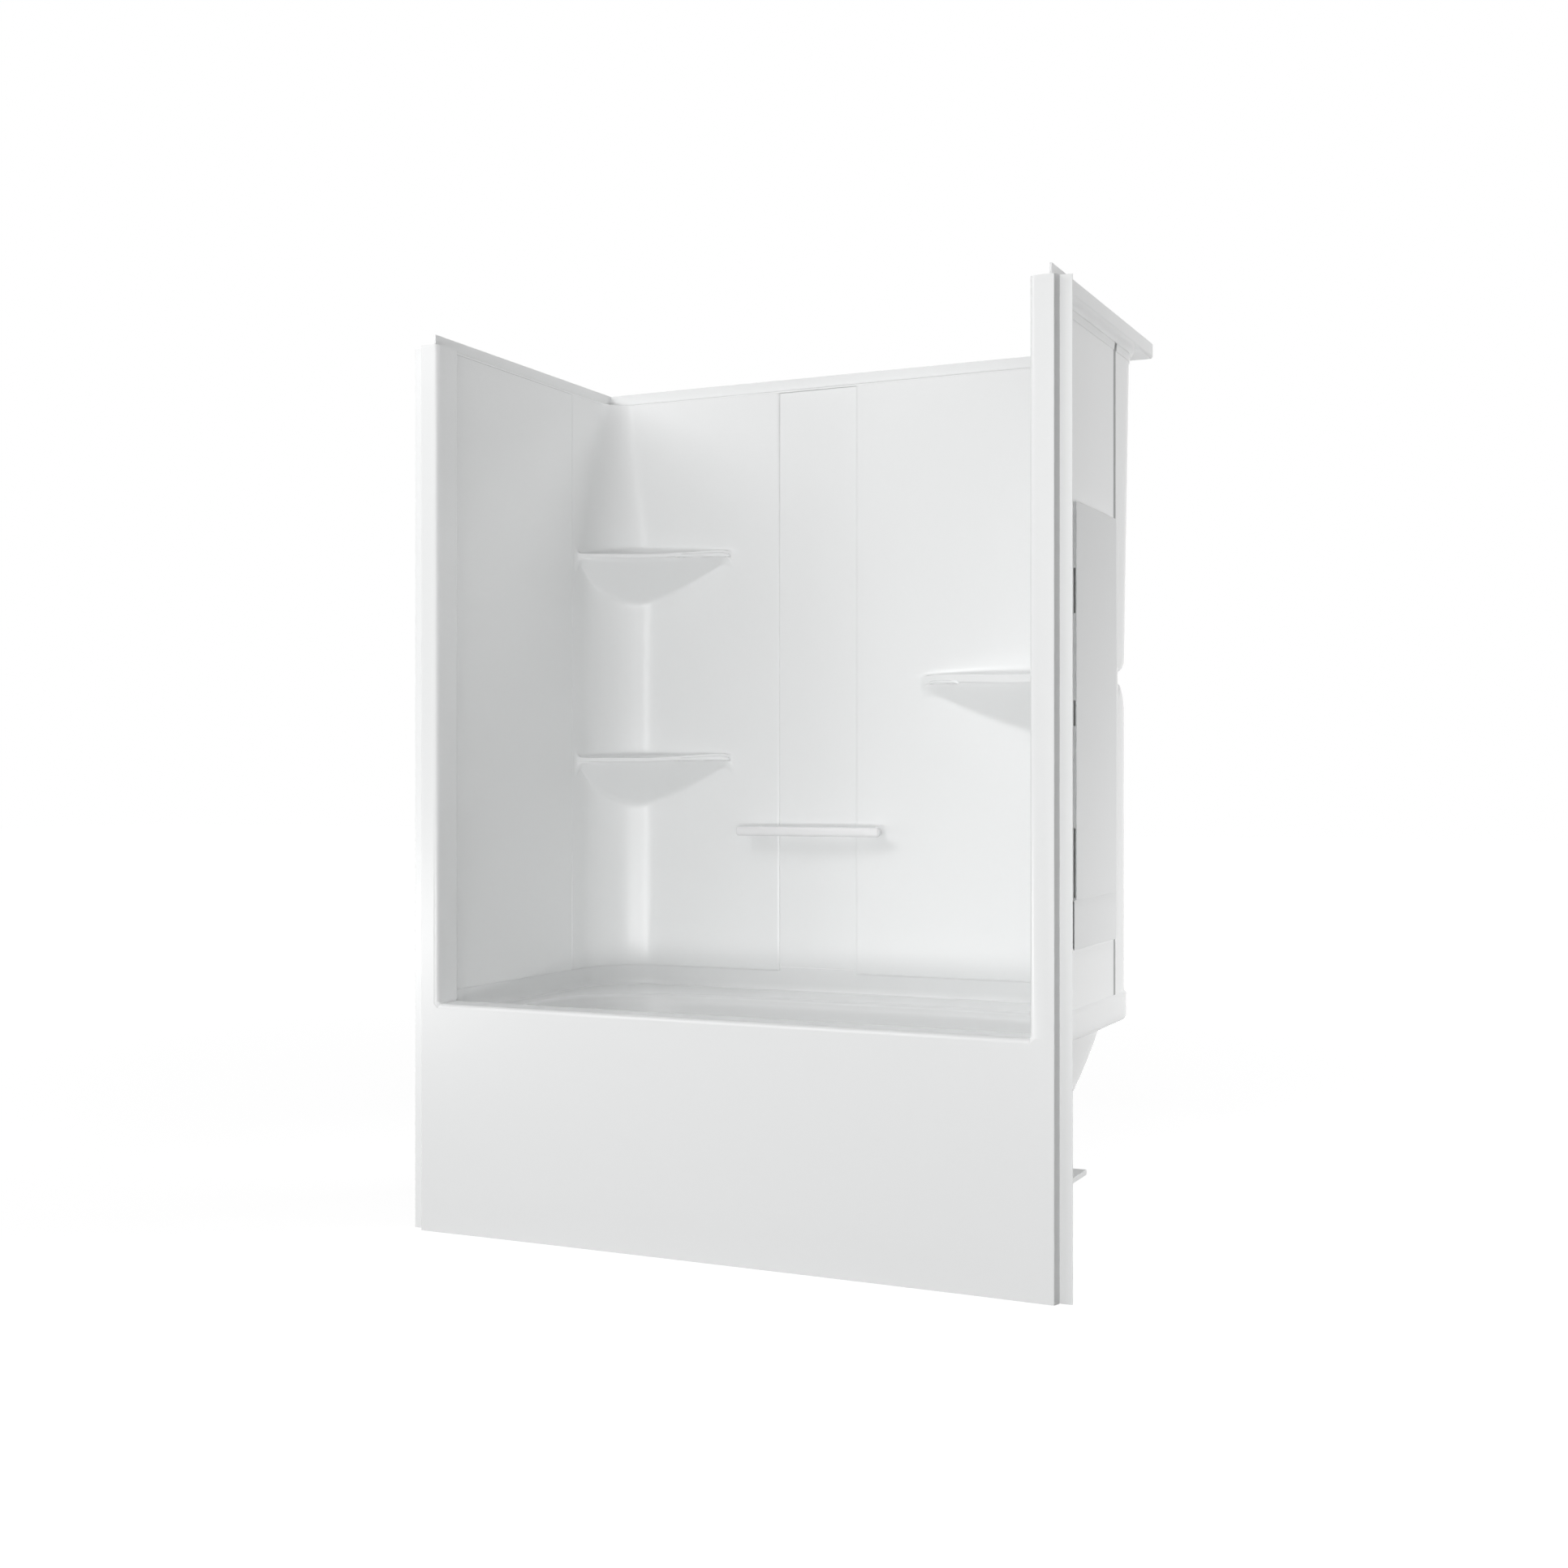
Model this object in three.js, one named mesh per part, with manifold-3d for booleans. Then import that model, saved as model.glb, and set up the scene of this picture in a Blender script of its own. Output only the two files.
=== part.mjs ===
// Alcove tub and shower unit: a bath with a straight apron, five wall panels with moulded corner
// shelves, a towel bar, timber backing and runners, and the waste and overflow set.
// Millimetres, +Z up. Pieces are modelled with the front face at y = 0, the floor at z = 0 and
// x = 0 in the middle, and the whole unit is then moved back by half its depth.
import * as THREE from "three";
import { mergeVertices } from "three/addons/utils/BufferGeometryUtils.js";
import Module from "manifold-3d";

// Overall size
const WIDTH = 1520;
const DEPTH = 808;
const HEIGHT = 1998;
const GAP = 0.3;

// Front frame: the apron and the two columns beside the opening
const FRAME_SKIN = 5;
const RIM_HEIGHT = 506;
const RIM_DEPTH = 80;
const COLUMN_OUTER = 730;
const COLUMN_INNER = 687;
const RETURN_FLARE = 5;
const FLANGE_SETBACK = 19;
const FLANGE_SKIN = 4;
const EDGE_ROUND = 5;
const RIM_ROUND = 8;
const ARCH_HALF = 672;
const ARCH_FOOT = 81;
const ARCH_RISE = 35.5;
const ARCH_RECESS = 6;

// Wall panels
const WALL_X = 697;
const WALL_Y = 789;
const WALL_SKIN = 4;
const WALL_FOOT = 528;
const WALL_TOP = 1969;
const LEFT_SEAM = 588;
const RIGHT_SEAM = 540;
const SEAM_GROOVE = 6;
const STRIP_LEFT = -221;
const STRIP_RIGHT = -15;
const STRIP_LAP = 20;
const LEFT_CORNER = { foot: 148, top: 60 };
const RIGHT_CORNER = { foot: 207, top: 156 };
const SHELF_DEPTH_SHARE = 0.9;
const BOWL_CURVE = 1.6;
const LEFT_SHELVES = [1058, 1569];
const RIGHT_SHELVES = [1243];
const LEFT_SHELF = { wall: 620, back: -360, lip: 17, bowl: 104 };
const RIGHT_SHELF = { wall: 566, back: 170, lip: 22, bowl: 66 };

// Top rail: the narrow ledge over the panels and its upright nailing flange
const RAIL_X = 716;
const RAIL_SKIN = 4;
const RAIL_THICK = 5;
const RAIL_FRONT = 29;
const HAUNCH_DROP = 24;
const HAUNCH_REACH = 8;

// Bath
const LEDGE = 480;
const TUB_SKIN = 5;
const UPSTAND_TOP = 538;
const TUB_FRONT = 24;
const WELL_MIDDLE = 358.5;
const WELL_POINTS = 56;
const LEFT_END_POWER = 2.9;
const RIGHT_END_POWER = 4;
const FLOOR_EDGE = 140;
const FLOOR_SKIN = 6.7;
// Reach of the well's inner face from its middle, from the ledge down to the floor's edge
const WELL = [
  { z: 480, left: 640, right: 676, side: 273 },
  { z: 474, left: 634, right: 671, side: 267 },
  { z: 440, left: 629, right: 663, side: 260 },
  { z: 345, left: 620, right: 630, side: 247 },
  { z: 250, left: 611, right: 582, side: 235 },
  { z: 165, left: 598, right: 520, side: 219 },
  { z: 135, left: 578, right: 478, side: 198 },
  { z: 126, left: 545, right: 430, side: 170 },
];

// Waste and overflow
const DRAIN_X = -480;
const DRAIN_Z = 124;
const DRAIN_HOLE = 25;
const DRAIN_SEAT = 38;
const STRAINER_FOOT = 90;
const STRAINER_BAR = 4;
const POST_RADIUS = 3;
const OVERFLOW_Z = 400;
const OVERFLOW_HOLE = 26;
const OVERFLOW_LEAN = 9 / 95;
const OVERFLOW_WALL = 625.3;
const OVERFLOW_SCREW = 22;
const PIPE = 19;
const PIPE_BORE = 16.5;
const SOCKET = 23;
const RISER_X = -676;
const WASTE_Z = 84;
const TAILPIECE_FOOT = 4;
const NUT_RADIUS = 27;
const NUT_HEIGHT = 16;

// Towel bar
const BAR = { left: -315, right: 66, front: 734, depth: 16, height: 23, round: 6.5, z: 876.5 };
const BAR_POSTS = [-268, 40];
const POST_BODY = 9;
const POST_FOOT = 12;
const BOLT = 3;
const BACKING_BLOCK = { half: 26, thick: 10, rise: 30 };

// Backing boards, base board and timber
const UPPER_BOARD = { thick: 12, front: 205, back: 503, foot: 761, top: 1562 };
const LOWER_BOARD = { thick: 8, front: 205, back: 517, foot: 660, top: 760.7 };
const BASE_BOARD = { half: 587, front: 110, back: 711, foot: 106, top: 118 };
const DRAIN_ACCESS = 45;
const TIMBER_WIDTH = 38;
const RUNNER_HALF = 560;
const RUNNERS = { front: 150, middle: 392, back: 640 };
const MIDDLE_RUNNER_START = -420;
const RIM_RAIL = { half: 640, front: 27, foot: 412, top: 474 };
const FOOT_RAIL = { half: 680, front: 14, top: 62 };

const wasm = await Module();
wasm.setup();

const WHITE = { color: 0xf2f3f3, roughness: 0.18, metalness: 0 };
const TIMBER = { color: 0xc8a878, roughness: 0.8, metalness: 0 };
const COATED_BOARD = { color: 0xe4e5e5, roughness: 0.6, metalness: 0 };
const CHROME = { color: 0xd6d9dc, roughness: 0.12, metalness: 1 };
const STEEL = { color: 0xa9adb1, roughness: 0.4, metalness: 1 };
const RUBBER = { color: 0x26272a, roughness: 0.85, metalness: 0 };
const PIPEWORK = { color: 0x2f3134, roughness: 0.5, metalness: 0 };

// Closed geometry as a solid, turned face out if its faces point in
function solid(geometry) {
  const plain = new THREE.BufferGeometry();
  const loose = geometry.index ? geometry.toNonIndexed() : geometry;
  plain.setAttribute("position", loose.getAttribute("position"));
  const merged = mergeVertices(plain, 1e-4);
  const vertProperties = merged.attributes.position.array;
  const triVerts = new Uint32Array(merged.index.array);
  if (signedVolume(vertProperties, triVerts) < 0) triVerts.reverse();
  return new wasm.Manifold(new wasm.Mesh({ numProp: 3, vertProperties, triVerts }));
}

function signedVolume(points, corners) {
  const at = (k) => new THREE.Vector3().fromArray(points, corners[k] * 3);
  let sum = 0;
  for (let k = 0; k < corners.length; k += 3) {
    sum += at(k).dot(at(k + 1).cross(at(k + 2)));
  }
  return sum;
}

function join(...solids) {
  return solids.reduce((whole, next) => whole.add(next));
}

function cut(body, ...tools) {
  return tools.reduce((whole, tool) => whole.subtract(tool), body);
}

// A named mesh from a solid
function piece(name, body, finish) {
  const { numProp, vertProperties, triVerts } = body.getMesh();
  const geometry = new THREE.BufferGeometry();
  const positions = new Float32Array((vertProperties.length / numProp) * 3);
  for (let k = 0; k < positions.length / 3; k++) {
    positions.set(vertProperties.subarray(k * numProp, k * numProp + 3), k * 3);
  }
  geometry.setAttribute("position", new THREE.BufferAttribute(positions, 3));
  geometry.setIndex(new THREE.BufferAttribute(new Uint32Array(triVerts), 1));
  const shaded = geometry.toNonIndexed();
  shaded.computeVertexNormals();
  const mesh = new THREE.Mesh(shaded, new THREE.MeshStandardMaterial(finish));
  mesh.name = name;
  return mesh;
}

function box([x0, x1], [y0, y1], [z0, z1]) {
  const geometry = new THREE.BoxGeometry(x1 - x0, y1 - y0, z1 - z0);
  return solid(geometry.translate((x0 + x1) / 2, (y0 + y1) / 2, (z0 + z1) / 2));
}

// A plan outline raised from z0 to z1
function raise(outline, z0, z1) {
  const shape = new THREE.Shape(outline.map(([x, y]) => new THREE.Vector2(x, y)));
  const geometry = new THREE.ExtrudeGeometry(shape, { depth: z1 - z0, bevelEnabled: false });
  return solid(geometry.translate(0, 0, z0));
}

// A side outline, given as y and z, drawn out from x0 to x1
function drawOut(outline, x0, x1) {
  const shape = new THREE.Shape(outline.map(([y, z]) => new THREE.Vector2(y, z)));
  const geometry = new THREE.ExtrudeGeometry(shape, { depth: x1 - x0, bevelEnabled: false });
  const turn = new THREE.Matrix4().makeBasis(
    new THREE.Vector3(0, 1, 0),
    new THREE.Vector3(0, 0, 1),
    new THREE.Vector3(1, 0, 0),
  );
  return solid(geometry.applyMatrix4(turn).translate(x0, 0, 0));
}

// A turned body about the z axis: the profile lists radius and height
function turned(profile, steps = 32) {
  const points = profile.map(([r, z]) => new THREE.Vector2(r, z));
  const geometry = new THREE.LatheGeometry(points, steps);
  return solid(geometry.rotateX(Math.PI / 2));
}

function ring(inner, outer, z0, z1, steps) {
  return turned([[inner, z0], [outer, z0], [outer, z1], [inner, z1], [inner, z0]], steps);
}

function rod(radius, z0, z1, steps = 32) {
  return turned([[0, z0], [radius, z0], [radius, z1], [0, z1]], steps);
}

const alongX = (body) => body.rotate([0, 90, 0]);
const alongY = (body) => body.rotate([-90, 0, 0]);

// Points of an arc, angles in degrees
function arc(x, y, radius, from, to, steps) {
  return Array.from({ length: steps + 1 }, (_, k) => {
    const angle = THREE.MathUtils.degToRad(from + ((to - from) * k) / steps);
    return [x + radius * Math.cos(angle), y + radius * Math.sin(angle)];
  });
}

const mirrored = (outline, side) => outline.map(([x, y]) => [side * x, y]);

// A closed skin between two grids of points that have the same rows and columns
function skin(near, far) {
  const rows = near.length;
  const columns = near[0].length;
  const half = rows * columns;
  const points = [...near.flat(), ...far.flat()];
  const faces = [];
  for (let i = 0; i + 1 < rows; i++) {
    for (let j = 0; j + 1 < columns; j++) {
      const a = i * columns + j;
      const [b, c, d] = [a + 1, a + columns, a + columns + 1];
      faces.push([a, b, d], [a, d, c]);
      faces.push([half + a, half + d, half + b], [half + a, half + c, half + d]);
    }
  }
  const rim = [];
  for (let j = 0; j + 1 < columns; j++) rim.push(j);
  for (let i = 0; i + 1 < rows; i++) rim.push(i * columns + columns - 1);
  for (let j = columns - 1; j > 0; j--) rim.push((rows - 1) * columns + j);
  for (let i = rows - 1; i > 0; i--) rim.push(i * columns);
  rim.forEach((p, k) => {
    const q = rim[(k + 1) % rim.length];
    faces.push([p, half + p, half + q], [p, half + q, q]);
  });
  return solidOfFaces(points, faces);
}

function solidOfFaces(points, faces) {
  const geometry = new THREE.BufferGeometry();
  const positions = new Float32Array(points.flat());
  geometry.setAttribute("position", new THREE.BufferAttribute(positions, 3));
  geometry.setIndex(faces.flat());
  return solid(geometry);
}

// Moves a plan line sideways, away from the room, with mitred corners
function offset(line, distance, side) {
  return line.map((point, k) => {
    const normals = [];
    for (const [p, q] of [[line[k - 1], point], [point, line[k + 1]]]) {
      if (!p || !q) continue;
      const [dx, dy] = [q[0] - p[0], q[1] - p[1]];
      const length = Math.hypot(dx, dy);
      normals.push([(side * dy) / length, (-side * dx) / length]);
    }
    const sum = normals.reduce(([x, y], n) => [x + n[0], y + n[1]], [0, 0]);
    const grow = (distance * normals.length) / (sum[0] ** 2 + sum[1] ** 2);
    return [point[0] + sum[0] * grow, point[1] + sum[1] * grow];
  });
}

const mix = (a, b, t) => a + (b - a) * t;

// Plan line of a corner panel: along the side wall, round the cove and along the back wall
const COVE_STEPS = 10;
function coveLine(side, seam, radius, end) {
  const middle = [side * (WALL_X - radius), WALL_Y - radius];
  const turn = side < 0 ? [180, 90] : [0, 90];
  const bend = arc(middle[0], middle[1], radius, turn[0], turn[1], COVE_STEPS);
  return [[side * WALL_X, seam], ...bend, [end, WALL_Y]];
}

// Plan line of a shelf's front edge, with as many points as the cove's
function shelfLine(side, seam, shelf, end) {
  const edge = Array.from({ length: COVE_STEPS + 1 }, (_, k) => {
    const t = k / COVE_STEPS;
    return [mix(side * WALL_X, shelf.back, t), mix(shelf.wall, WALL_Y, t)];
  });
  return [[side * WALL_X, seam], ...edge, [end, WALL_Y]];
}

// Rows of a moulded shelf from its tip up: how far out each row stands, from 0 at the cove to 1 at
// the shelf's edge, and how far the hidden face lies above it
function shelfRows(top, { lip, bowl }) {
  const under = top - lip;
  const steps = 6;
  const rows = [];
  for (let k = steps; k > 0; k--) {
    const drop = k / steps;
    const out = SHELF_DEPTH_SHARE * (1 - drop ** BOWL_CURVE);
    rows.push({ z: under - bowl * drop, out, lift: 0 });
  }
  rows.push({ z: under, out: SHELF_DEPTH_SHARE, lift: WALL_SKIN });
  rows.push({ z: under, out: 1, lift: WALL_SKIN });
  rows.push({ z: top, out: 1, lift: -WALL_SKIN });
  rows.push({ z: top, out: 0, lift: -WALL_SKIN });
  return rows;
}

// The cove is even up to the highest shelf and narrows from there to the top
function cornerRadius(corner, z, highestShelf) {
  const above = Math.max(0, (z - highestShelf) / (WALL_TOP - highestShelf));
  return mix(corner.foot, corner.top, above);
}

function cornerPanel(side, seam, corner, shelves, shape, end) {
  const top = WALL_TOP - RAIL_THICK - GAP;
  const rows = [
    { z: WALL_FOOT, out: 0, lift: 0 },
    ...shelves.flatMap((z) => shelfRows(z, shape)),
    { z: top, out: 0, lift: 0 },
  ];
  const highest = shelves[shelves.length - 1];
  const front = shelfLine(side, seam, shape, end);
  const near = [];
  const far = [];
  for (const row of rows) {
    const cove = coveLine(side, seam, cornerRadius(corner, row.z, highest), end);
    const line = cove.map(([x, y], k) => {
      return [mix(x, front[k][0], row.out), mix(y, front[k][1], row.out)];
    });
    const back = offset(line, WALL_SKIN, side);
    back[0][1] += SEAM_GROOVE;
    near.push(line.map(([x, y]) => [x, y, row.z]));
    far.push(back.map(([x, y]) => [x, y, row.z + row.lift]));
  }
  return skin(near, far);
}

function leftCornerPanel() {
  const panel = cornerPanel(-1, LEFT_SEAM, LEFT_CORNER, LEFT_SHELVES, LEFT_SHELF, STRIP_LEFT);
  return cut(panel, boltHole(BAR_POSTS[0]));
}

function rightCornerPanel() {
  const panel = cornerPanel(1, RIGHT_SEAM, RIGHT_CORNER, RIGHT_SHELVES, RIGHT_SHELF, STRIP_RIGHT);
  return cut(panel, boltHole(BAR_POSTS[1]));
}

function sidePanel(side, seam) {
  const faces = [side * WALL_X, side * (WALL_X + WALL_SKIN)].sort((a, b) => a - b);
  const top = WALL_TOP - RAIL_THICK - GAP;
  return box(faces, [RIM_DEPTH + GAP, seam - GAP], [WALL_FOOT, top]);
}

function centerPanel() {
  const face = WALL_Y + WALL_SKIN + GAP;
  const across = [STRIP_LEFT - STRIP_LAP, STRIP_RIGHT + STRIP_LAP];
  const top = WALL_TOP - RAIL_THICK - GAP;
  return box(across, [face, face + WALL_SKIN], [UPSTAND_TOP + GAP, top]);
}

// Plan line round the three walls from the left front to the right front, moved out by a distance
function wallLine(from, leftRadius, rightRadius, distance) {
  const left = offset(coveLine(-1, from, leftRadius, 0), distance, -1);
  const right = offset(coveLine(1, from, rightRadius, 0), distance, 1);
  return [...left.slice(0, -1), ...right.slice(0, -1).reverse()];
}

// Front frame
const archHeight = (x) => ARCH_FOOT + ARCH_RISE * (1 - (x / ARCH_HALF) ** 2);

function apronFace() {
  const columns = 36;
  const near = [[], [], [], []];
  for (let k = 0; k <= columns; k++) {
    const x = mix(-COLUMN_OUTER + EDGE_ROUND, COLUMN_OUTER - EDGE_ROUND, k / columns);
    const share = Math.max(0, 1 - (x / ARCH_HALF) ** 2);
    const arch = Math.max(ARCH_FOOT, archHeight(x));
    const step = 3 + ARCH_RECESS * share;
    near[0].push([x, ARCH_RECESS * share, 0]);
    near[1].push([x, ARCH_RECESS * share, arch - step]);
    near[2].push([x, 0, arch]);
    near[3].push([x, 0, RIM_HEIGHT - RIM_ROUND]);
  }
  const far = near.map((row) => row.map(([x, y, z]) => [x, y + FRAME_SKIN, z]));
  return skin(near, far);
}

function rim() {
  const outline = [
    [0, RIM_HEIGHT - RIM_ROUND - 1],
    ...arc(RIM_ROUND, RIM_HEIGHT - RIM_ROUND, RIM_ROUND, 180, 90, 6),
    ...arc(RIM_DEPTH - RIM_ROUND, RIM_HEIGHT - RIM_ROUND, RIM_ROUND, 90, 0, 6),
    [RIM_DEPTH, LEDGE + GAP],
    [RIM_DEPTH - FRAME_SKIN, LEDGE + GAP],
    [RIM_DEPTH - FRAME_SKIN, RIM_HEIGHT - FRAME_SKIN],
    [FRAME_SKIN, RIM_HEIGHT - FRAME_SKIN],
    [FRAME_SKIN, RIM_HEIGHT - RIM_ROUND - 1],
  ];
  return drawOut(outline, -COLUMN_INNER - 2, COLUMN_INNER + 2);
}

function column(side) {
  const flangeInner = COLUMN_OUTER + RETURN_FLARE;
  const outerPart = [
    [WIDTH / 2, FLANGE_SETBACK],
    [flangeInner, FLANGE_SETBACK],
    ...arc(COLUMN_OUTER - EDGE_ROUND, EDGE_ROUND, EDGE_ROUND, 0, -90, 5),
    [COLUMN_INNER + EDGE_ROUND, 0],
    [COLUMN_INNER + EDGE_ROUND, FRAME_SKIN],
    [COLUMN_OUTER - FLANGE_SKIN, FRAME_SKIN],
    [flangeInner - FLANGE_SKIN, FLANGE_SETBACK + FLANGE_SKIN],
    [WIDTH / 2, FLANGE_SETBACK + FLANGE_SKIN],
  ];
  const innerPart = [
    [COLUMN_INNER + EDGE_ROUND, 0],
    ...arc(COLUMN_INNER + EDGE_ROUND, EDGE_ROUND, EDGE_ROUND, -90, -180, 5).slice(1),
    [COLUMN_INNER, RIM_DEPTH],
    [WALL_X + 9, RIM_DEPTH],
    [WALL_X + 9, RIM_DEPTH - FRAME_SKIN],
    [COLUMN_INNER + FRAME_SKIN, RIM_DEPTH - FRAME_SKIN],
    [COLUMN_INNER + FRAME_SKIN, FRAME_SKIN],
    [COLUMN_INNER + EDGE_ROUND + 2, FRAME_SKIN],
    [COLUMN_INNER + EDGE_ROUND + 2, 0],
  ];
  const cap = [
    [COLUMN_INNER + 1, 1],
    [COLUMN_OUTER - 1, 1],
    [COLUMN_OUTER - 1, RAIL_FRONT - 1],
    [RAIL_X - RAIL_SKIN - GAP, RAIL_FRONT - 1],
    [RAIL_X - RAIL_SKIN - GAP, RIM_DEPTH],
    [COLUMN_INNER + 1, RIM_DEPTH],
  ];
  return join(
    raise(mirrored(outerPart, side), 0, WALL_TOP),
    raise(mirrored(innerPart, side), LEDGE + GAP, WALL_TOP),
    raise(mirrored(cap, side), WALL_TOP - FRAME_SKIN, WALL_TOP),
  );
}

function frontFrame() {
  return join(apronFace(), rim(), column(-1), column(1));
}

// Top rail
function topRail() {
  const inner = wallLine(RIM_DEPTH + GAP, LEFT_CORNER.top, RIGHT_CORNER.top, 0);
  const face = RAIL_X - RAIL_SKIN;
  const front = RIM_DEPTH + GAP;
  const ledge = raise(
    [...inner, [RAIL_X, front], [RAIL_X, DEPTH], [-RAIL_X, DEPTH], [-RAIL_X, front]],
    WALL_TOP - RAIL_THICK,
    WALL_TOP,
  );
  const flange = raise(
    [
      [-RAIL_X, RAIL_FRONT], [-face, RAIL_FRONT], [-face, DEPTH - RAIL_SKIN],
      [face, DEPTH - RAIL_SKIN], [face, RAIL_FRONT], [RAIL_X, RAIL_FRONT],
      [RAIL_X, DEPTH], [-RAIL_X, DEPTH],
    ],
    WALL_TOP - RAIL_THICK,
    HEIGHT,
  );
  const haunchRow = (distance, z) => {
    const left = cornerRadius(LEFT_CORNER, z, LEFT_SHELVES[1]);
    const right = cornerRadius(RIGHT_CORNER, z, RIGHT_SHELVES[0]);
    return wallLine(RIM_DEPTH + GAP, left, right, distance).map(([x, y]) => [x, y, z]);
  };
  const low = WALL_TOP - RAIL_THICK - HAUNCH_DROP;
  const high = WALL_TOP - RAIL_THICK + 1;
  const snug = WALL_SKIN + GAP;
  const haunch = skin(
    [haunchRow(snug, low), haunchRow(snug, high)],
    [haunchRow(snug + 1, low), haunchRow(snug + HAUNCH_REACH, high)],
  );
  const strip = box(
    [STRIP_LEFT - STRIP_LAP - GAP, STRIP_RIGHT + STRIP_LAP + GAP],
    [WALL_Y, WALL_Y + 2 * (WALL_SKIN + GAP)],
    [low - 1, WALL_TOP - RAIL_THICK],
  );
  return join(ledge, flange, cut(haunch, strip));
}

// Bath
function wellRing({ left, right, side }, z, grow) {
  return Array.from({ length: WELL_POINTS }, (_, k) => {
    const angle = (2 * Math.PI * k) / WELL_POINTS;
    const [c, s] = [Math.cos(angle), Math.sin(angle)];
    const power = 2 / (c < 0 ? LEFT_END_POWER : RIGHT_END_POWER);
    const reach = (c < 0 ? left : right) + grow;
    const x = reach * Math.sign(c) * Math.abs(c) ** power;
    const y = WELL_MIDDLE + (side + grow) * Math.sign(s) * Math.abs(s) ** power;
    return [x, y, z];
  });
}

// The well's shell, closed over its floor by fans that meet at the drain
function well() {
  const inner = WELL.map((level) => wellRing(level, level.z, 0));
  const outer = WELL.map((level) => {
    const drop = level.z < FLOOR_EDGE ? FLOOR_SKIN : 0;
    return wellRing(level, level.z - drop, TUB_SKIN);
  });
  const points = [...inner.flat(), ...outer.flat()];
  const half = WELL.length * WELL_POINTS;
  const faces = [];
  const next = (k) => (k + 1) % WELL_POINTS;
  for (let i = 0; i + 1 < WELL.length; i++) {
    for (let k = 0; k < WELL_POINTS; k++) {
      const [a, b] = [i * WELL_POINTS + k, i * WELL_POINTS + next(k)];
      const [c, d] = [a + WELL_POINTS, b + WELL_POINTS];
      faces.push([a, b, d], [a, d, c]);
      faces.push([half + a, half + d, half + b], [half + a, half + c, half + d]);
    }
  }
  const last = (WELL.length - 1) * WELL_POINTS;
  const floorMiddle = points.push([DRAIN_X, WELL_MIDDLE, DRAIN_Z]) - 1;
  const underside = WELL[WELL.length - 1].z - FLOOR_SKIN;
  const underMiddle = points.push([DRAIN_X, WELL_MIDDLE, underside]) - 1;
  for (let k = 0; k < WELL_POINTS; k++) {
    faces.push([last + k, last + next(k), floorMiddle]);
    faces.push([half + last + next(k), half + last + k, underMiddle]);
    faces.push([k, half + next(k), next(k)], [k, half + k, half + next(k)]);
  }
  return solidOfFaces(points, faces);
}

function tubBasin() {
  const snug = WALL_SKIN + GAP;
  const lines = [snug, snug + TUB_SKIN].map((distance) =>
    wallLine(RIM_DEPTH + GAP, LEFT_CORNER.foot, RIGHT_CORNER.foot, distance));
  const upstand = raise([...lines[1], ...lines[0].reverse()], LEDGE - TUB_SKIN, UPSTAND_TOP);
  const reach = WALL_X + snug + TUB_SKIN;
  const plateOutline = [...lines[1], [reach, TUB_FRONT], [-reach, TUB_FRONT]];
  const plate = raise(plateOutline, LEDGE - TUB_SKIN, LEDGE);
  const wellOutline = wellRing(WELL[0], 0, 2).map(([x, y]) => [x, y]);
  const opening = raise(wellOutline, LEDGE - 10, LEDGE + 10);
  const drain = atDrain(join(
    rod(DRAIN_HOLE, DRAIN_Z - 20, DRAIN_Z + 20),
    rod(DRAIN_SEAT, DRAIN_Z, DRAIN_Z + 20),
  ));
  const overflow = placeOverflow(alongX(rod(OVERFLOW_HOLE, -20, 20)));
  return cut(join(cut(plate, opening), upstand, well()), drain, overflow);
}

// Waste and overflow. Profiles of turned parts list radius and height above the floor.
const atDrain = (body) => body.translate([DRAIN_X, WELL_MIDDLE, 0]);
const atRiser = (body) => body.translate([RISER_X, WELL_MIDDLE, 0]);

// The overflow's own frame has its axis along x, square to the well's sloping end
function placeOverflow(body) {
  const lean = THREE.MathUtils.radToDeg(Math.atan(OVERFLOW_LEAN));
  const x = -OVERFLOW_WALL - TUB_SKIN / 2;
  return body.rotate([0, -lean, 0]).translate([x, WELL_MIDDLE, OVERFLOW_Z]);
}

function drainStrainer() {
  const top = DRAIN_Z + 3.4;
  const body = turned([
    [20, STRAINER_FOOT],
    [DRAIN_HOLE - 2, STRAINER_FOOT],
    [DRAIN_HOLE - 2, DRAIN_Z + 0.9],
    [DRAIN_SEAT - 2, DRAIN_Z + 0.9],
    [DRAIN_SEAT - 1.5, DRAIN_Z + 1.6],
    [34, top],
    [20, top],
    [20, STRAINER_FOOT],
  ]);
  const level = [STRAINER_FOOT, STRAINER_FOOT + STRAINER_BAR];
  const bars = [0, 90].map((angle) => box([-21, 21], [-2.5, 2.5], level).rotate([0, 0, angle]));
  const hub = rod(7, ...level);
  const bore = rod(POST_RADIUS + GAP, level[0] - 1, level[1] + 1, 20);
  return atDrain(cut(join(body, ...bars, hub), bore));
}

// A pin with a collar that stands on the strainer's crossbars
function stopperPost() {
  const collar = STRAINER_FOOT + STRAINER_BAR + GAP;
  return atDrain(turned([
    [0, STRAINER_FOOT - 4],
    [POST_RADIUS, STRAINER_FOOT - 4],
    [POST_RADIUS, collar],
    [5, collar],
    [5, collar + 3.7],
    [POST_RADIUS, collar + 3.7],
    [POST_RADIUS, DRAIN_Z - 2],
    [0, DRAIN_Z - 2],
  ], 20));
}

// A domed plug with a sleeve that slides on the post
function drainStopper() {
  const sleeveFoot = STRAINER_FOOT + 10;
  const under = DRAIN_Z + 6.6;
  return atDrain(turned([
    [0, under + 7.4],
    [8, under + 7.2],
    [20, under + 5.4],
    [26, under + 2.4],
    [27, under],
    [6, under],
    [6, sleeveFoot],
    [POST_RADIUS + 0.5, sleeveFoot],
    [POST_RADIUS + 0.5, DRAIN_Z + 2],
    [0, DRAIN_Z + 2],
  ]));
}

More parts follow.
